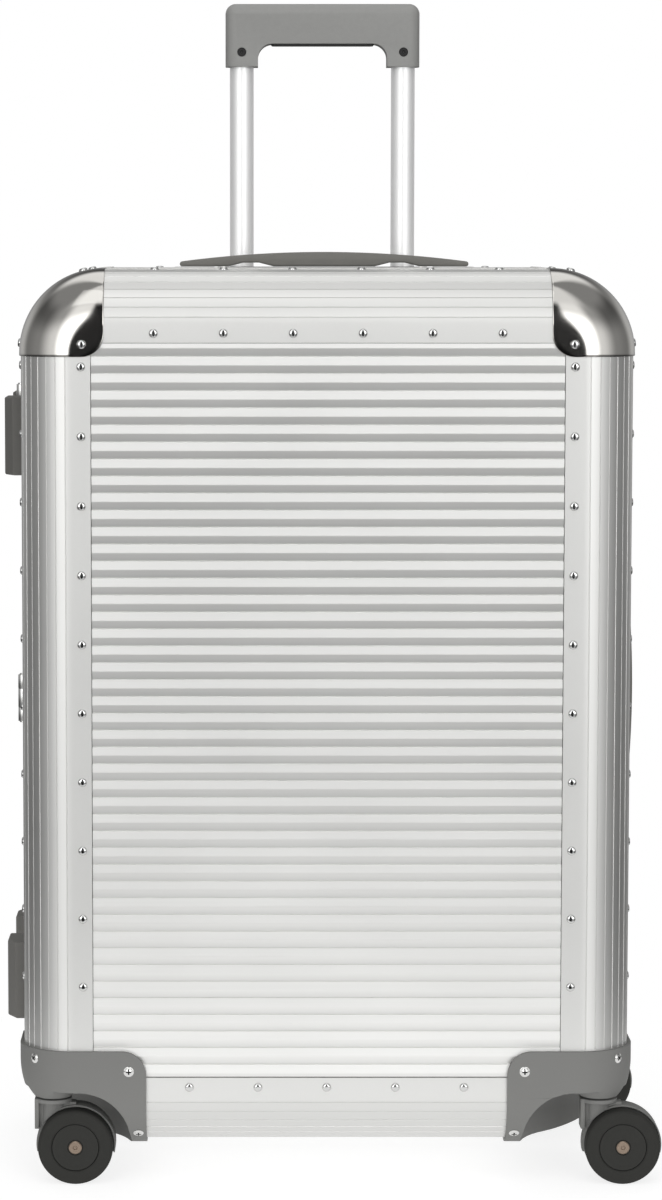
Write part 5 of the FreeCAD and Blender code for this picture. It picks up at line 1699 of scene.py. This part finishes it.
@dataclass
class Studio:
    """The pale floor, the soft light and the camera."""

    camera_place: tuple[float, float, float] = (-0.058, -2.8405, 0.684)
    camera_pitch: float = 5.36
    lens: float = 113.6
    shift: float = 0.070
    floor_radius: float = 0.54
    floor_sides: int = 96
    farthest_sight: float = 100.0
    round_light: tuple[Pair, ...] = (
        (0.0, 0.03), (7.5, 0.03), (11.5, 3.5), (26.0, 3.5), (42.0, 1.3), (80.0, 0.4), (112.0, 0.3),
        (135.0, 0.7), (180.0, 0.22)
    )
    share_level: tuple[Pair, ...] = (
        (0.0, 0.17), (80.0, 0.17), (90.0, 1.0), (103.0, 1.0), (122.0, 0.45), (180.0, 0.45)
    )
    share_above: tuple[Pair, ...] = ((0.0, 0.0), (125.0, 0.0), (140.0, 1.0), (180.0, 1.0))
    top_light: tuple[Pair, ...] = (
        (0.0, 1.3), (30.0, 1.3), (55.0, 0.4), (120.0, 0.4), (150.0, 1.4), (180.0, 1.4)
    )
    background: float = 1.0

    def build(self) -> None:
        """Make the studio."""
        scene = bpy.context.scene
        scene.view_settings.view_transform = "Standard"
        self.camera(scene)
        self.floor()
        self.world(scene)
        for box in (
            Softbox("key_light", (-0.7, -1.6, 3.2), (0, 0, 0.4), 1.6, 4.0),
        ):
            box.build()

    def camera(self, scene: bpy.types.Scene) -> None:
        """Make the camera.

        Args:
            scene: The scene.
        """
        camera = bpy.data.cameras.new("camera")
        camera.lens = self.lens
        camera.shift_x = self.shift
        camera.clip_end = self.farthest_sight
        eye = bpy.data.objects.new("camera", camera)
        eye.location = self.camera_place
        eye.rotation_euler = (math.radians(90 - self.camera_pitch), 0, 0)
        scene.collection.objects.link(eye)
        scene.camera = eye

    def floor(self) -> None:
        """Make the plain pale floor, a disc."""
        mesh = bmesh.new()
        bmesh.ops.create_circle(mesh, cap_ends=True, segments=self.floor_sides, radius=self.floor_radius)
        floor = as_object("floor", mesh, outward=False)
        floor.data.materials.append(
            Finish("pale_floor", (150, 150, 150), 0.8, tone=0.003, bump=0.0, specular=0.1, glow=0.8).build()
        )

    def world(self, scene: bpy.types.Scene) -> None:
        """Light the studio from all round, with a plain white ground behind the case.

        Args:
            scene: The scene.
        """
        world = bpy.data.worlds.new("studio")
        world.use_nodes = True
        nodes, links = world.node_tree.nodes, world.node_tree.links
        shown = next(node for node in nodes if node.type == "BACKGROUND")
        out = next(node for node in nodes if node.type == "OUTPUT_WORLD")
        shown.inputs["Color"].default_value = (1, 1, 1, 1)
        shown.inputs["Strength"].default_value = self.background
        lit = nodes.new("ShaderNodeBackground")
        lit.inputs["Color"].default_value = (1, 1, 1, 1)
        parts = nodes.new("ShaderNodeSeparateXYZ")
        links.new(nodes.new("ShaderNodeTexCoord").outputs["Generated"], parts.inputs[0])
        across = self.step(nodes, links, "ABSOLUTE", parts.outputs["X"])
        ahead = self.step(nodes, links, "MULTIPLY", parts.outputs["Y"], -1.0)
        turn = self.step(nodes, links, "ARCTAN2", across, ahead)
        around = self.levels(nodes, links, turn, HALF_TURN, self.round_light)
        height = self.step(nodes, links, "ARCSINE", parts.outputs["Z"])
        raised_height = self.step(nodes, links, "ADD", height, math.pi / 2)
        level_share = self.levels(nodes, links, raised_height, HALF_TURN, self.share_level)
        around = self.step(nodes, links, "MULTIPLY", around, level_share)
        overhead = self.levels(nodes, links, raised_height, HALF_TURN, self.share_above)
        light = nodes.new("ShaderNodeMix")
        links.new(overhead, light.inputs["Factor"])
        links.new(around, light.inputs["A"])
        links.new(self.levels(nodes, links, turn, HALF_TURN, self.top_light), light.inputs["B"])
        links.new(light.outputs[0], lit.inputs["Strength"])
        choice = nodes.new("ShaderNodeMixShader")
        links.new(nodes.new("ShaderNodeLightPath").outputs["Is Camera Ray"], choice.inputs[0])
        links.new(lit.outputs[0], choice.inputs[1])
        links.new(shown.outputs[0], choice.inputs[2])
        links.new(choice.outputs[0], out.inputs[0])
        scene.world = world

    def step(self, nodes: Nodes, links: Links, operation: str, first: Socket,
             second: Socket | float = 0.0) -> Socket:
        """One step of arithmetic in the world's nodes.

        Args:
            nodes: The world's nodes.
            links: The world's links.
            operation: The operation's name.
            first: The first value's socket.
            second: A socket or a number.

        Returns:
            The result's socket.
        """
        node = nodes.new("ShaderNodeMath")
        node.operation = operation
        links.new(first, node.inputs[0])
        if isinstance(second, Socket):
            links.new(second, node.inputs[1])
        else:
            node.inputs[1].default_value = second
        return node.outputs[0]

    def levels(self, nodes: Nodes, links: Links, angle: Socket, span: float,
               stops: Sequence[Pair]) -> Socket:
        """A smooth table of levels over an angle.

        Args:
            nodes: The world's nodes.
            links: The world's links.
            angle: The angle's socket, in radians.
            span: The angle that the table covers, in degrees.
            stops: Pairs of an angle in degrees and the level there.

        Returns:
            The level's socket.
        """
        share = self.step(nodes, links, "DIVIDE", angle, math.radians(span))
        top = max(level for _, level in stops)
        ramp = nodes.new("ShaderNodeValToRGB")
        ramp.color_ramp.interpolation = "EASE"
        marks = ramp.color_ramp.elements
        while len(marks) < len(stops):
            marks.new(1.0)
        for mark, (place, level) in zip(marks, stops):
            mark.position = place / span
            mark.color = (level / top,) * 3 + (1,)
        links.new(share, ramp.inputs[0])
        return self.step(nodes, links, "MULTIPLY", ramp.outputs[0], top)


# ---------------------------------------------------------------------------
# The whole case
# ---------------------------------------------------------------------------


def main() -> None:
    """Build the case's looks in order."""
    logging.basicConfig(level=logging.INFO, format="%(name)s %(message)s")
    Studio().build()
    outline = Outline()
    heads, seams = fastener_tree(), stitch_tree()
    for shell in Shell:
        ShellSkin(outline, shell).build()
        for side in (-1, 1):
            CornerCap(outline, shell, side).build()
        Fasteners(shell).build(heads)
        Lining(outline, shell).build(seams)
    PullHandle().build()
    for fitting in fittings():
        fitting.build()
    for depth in ("front", "back"):
        for side in ("left", "right"):
            Caster("%s_%s" % (depth, side)).build()


if __name__ == "__main__":
    main()
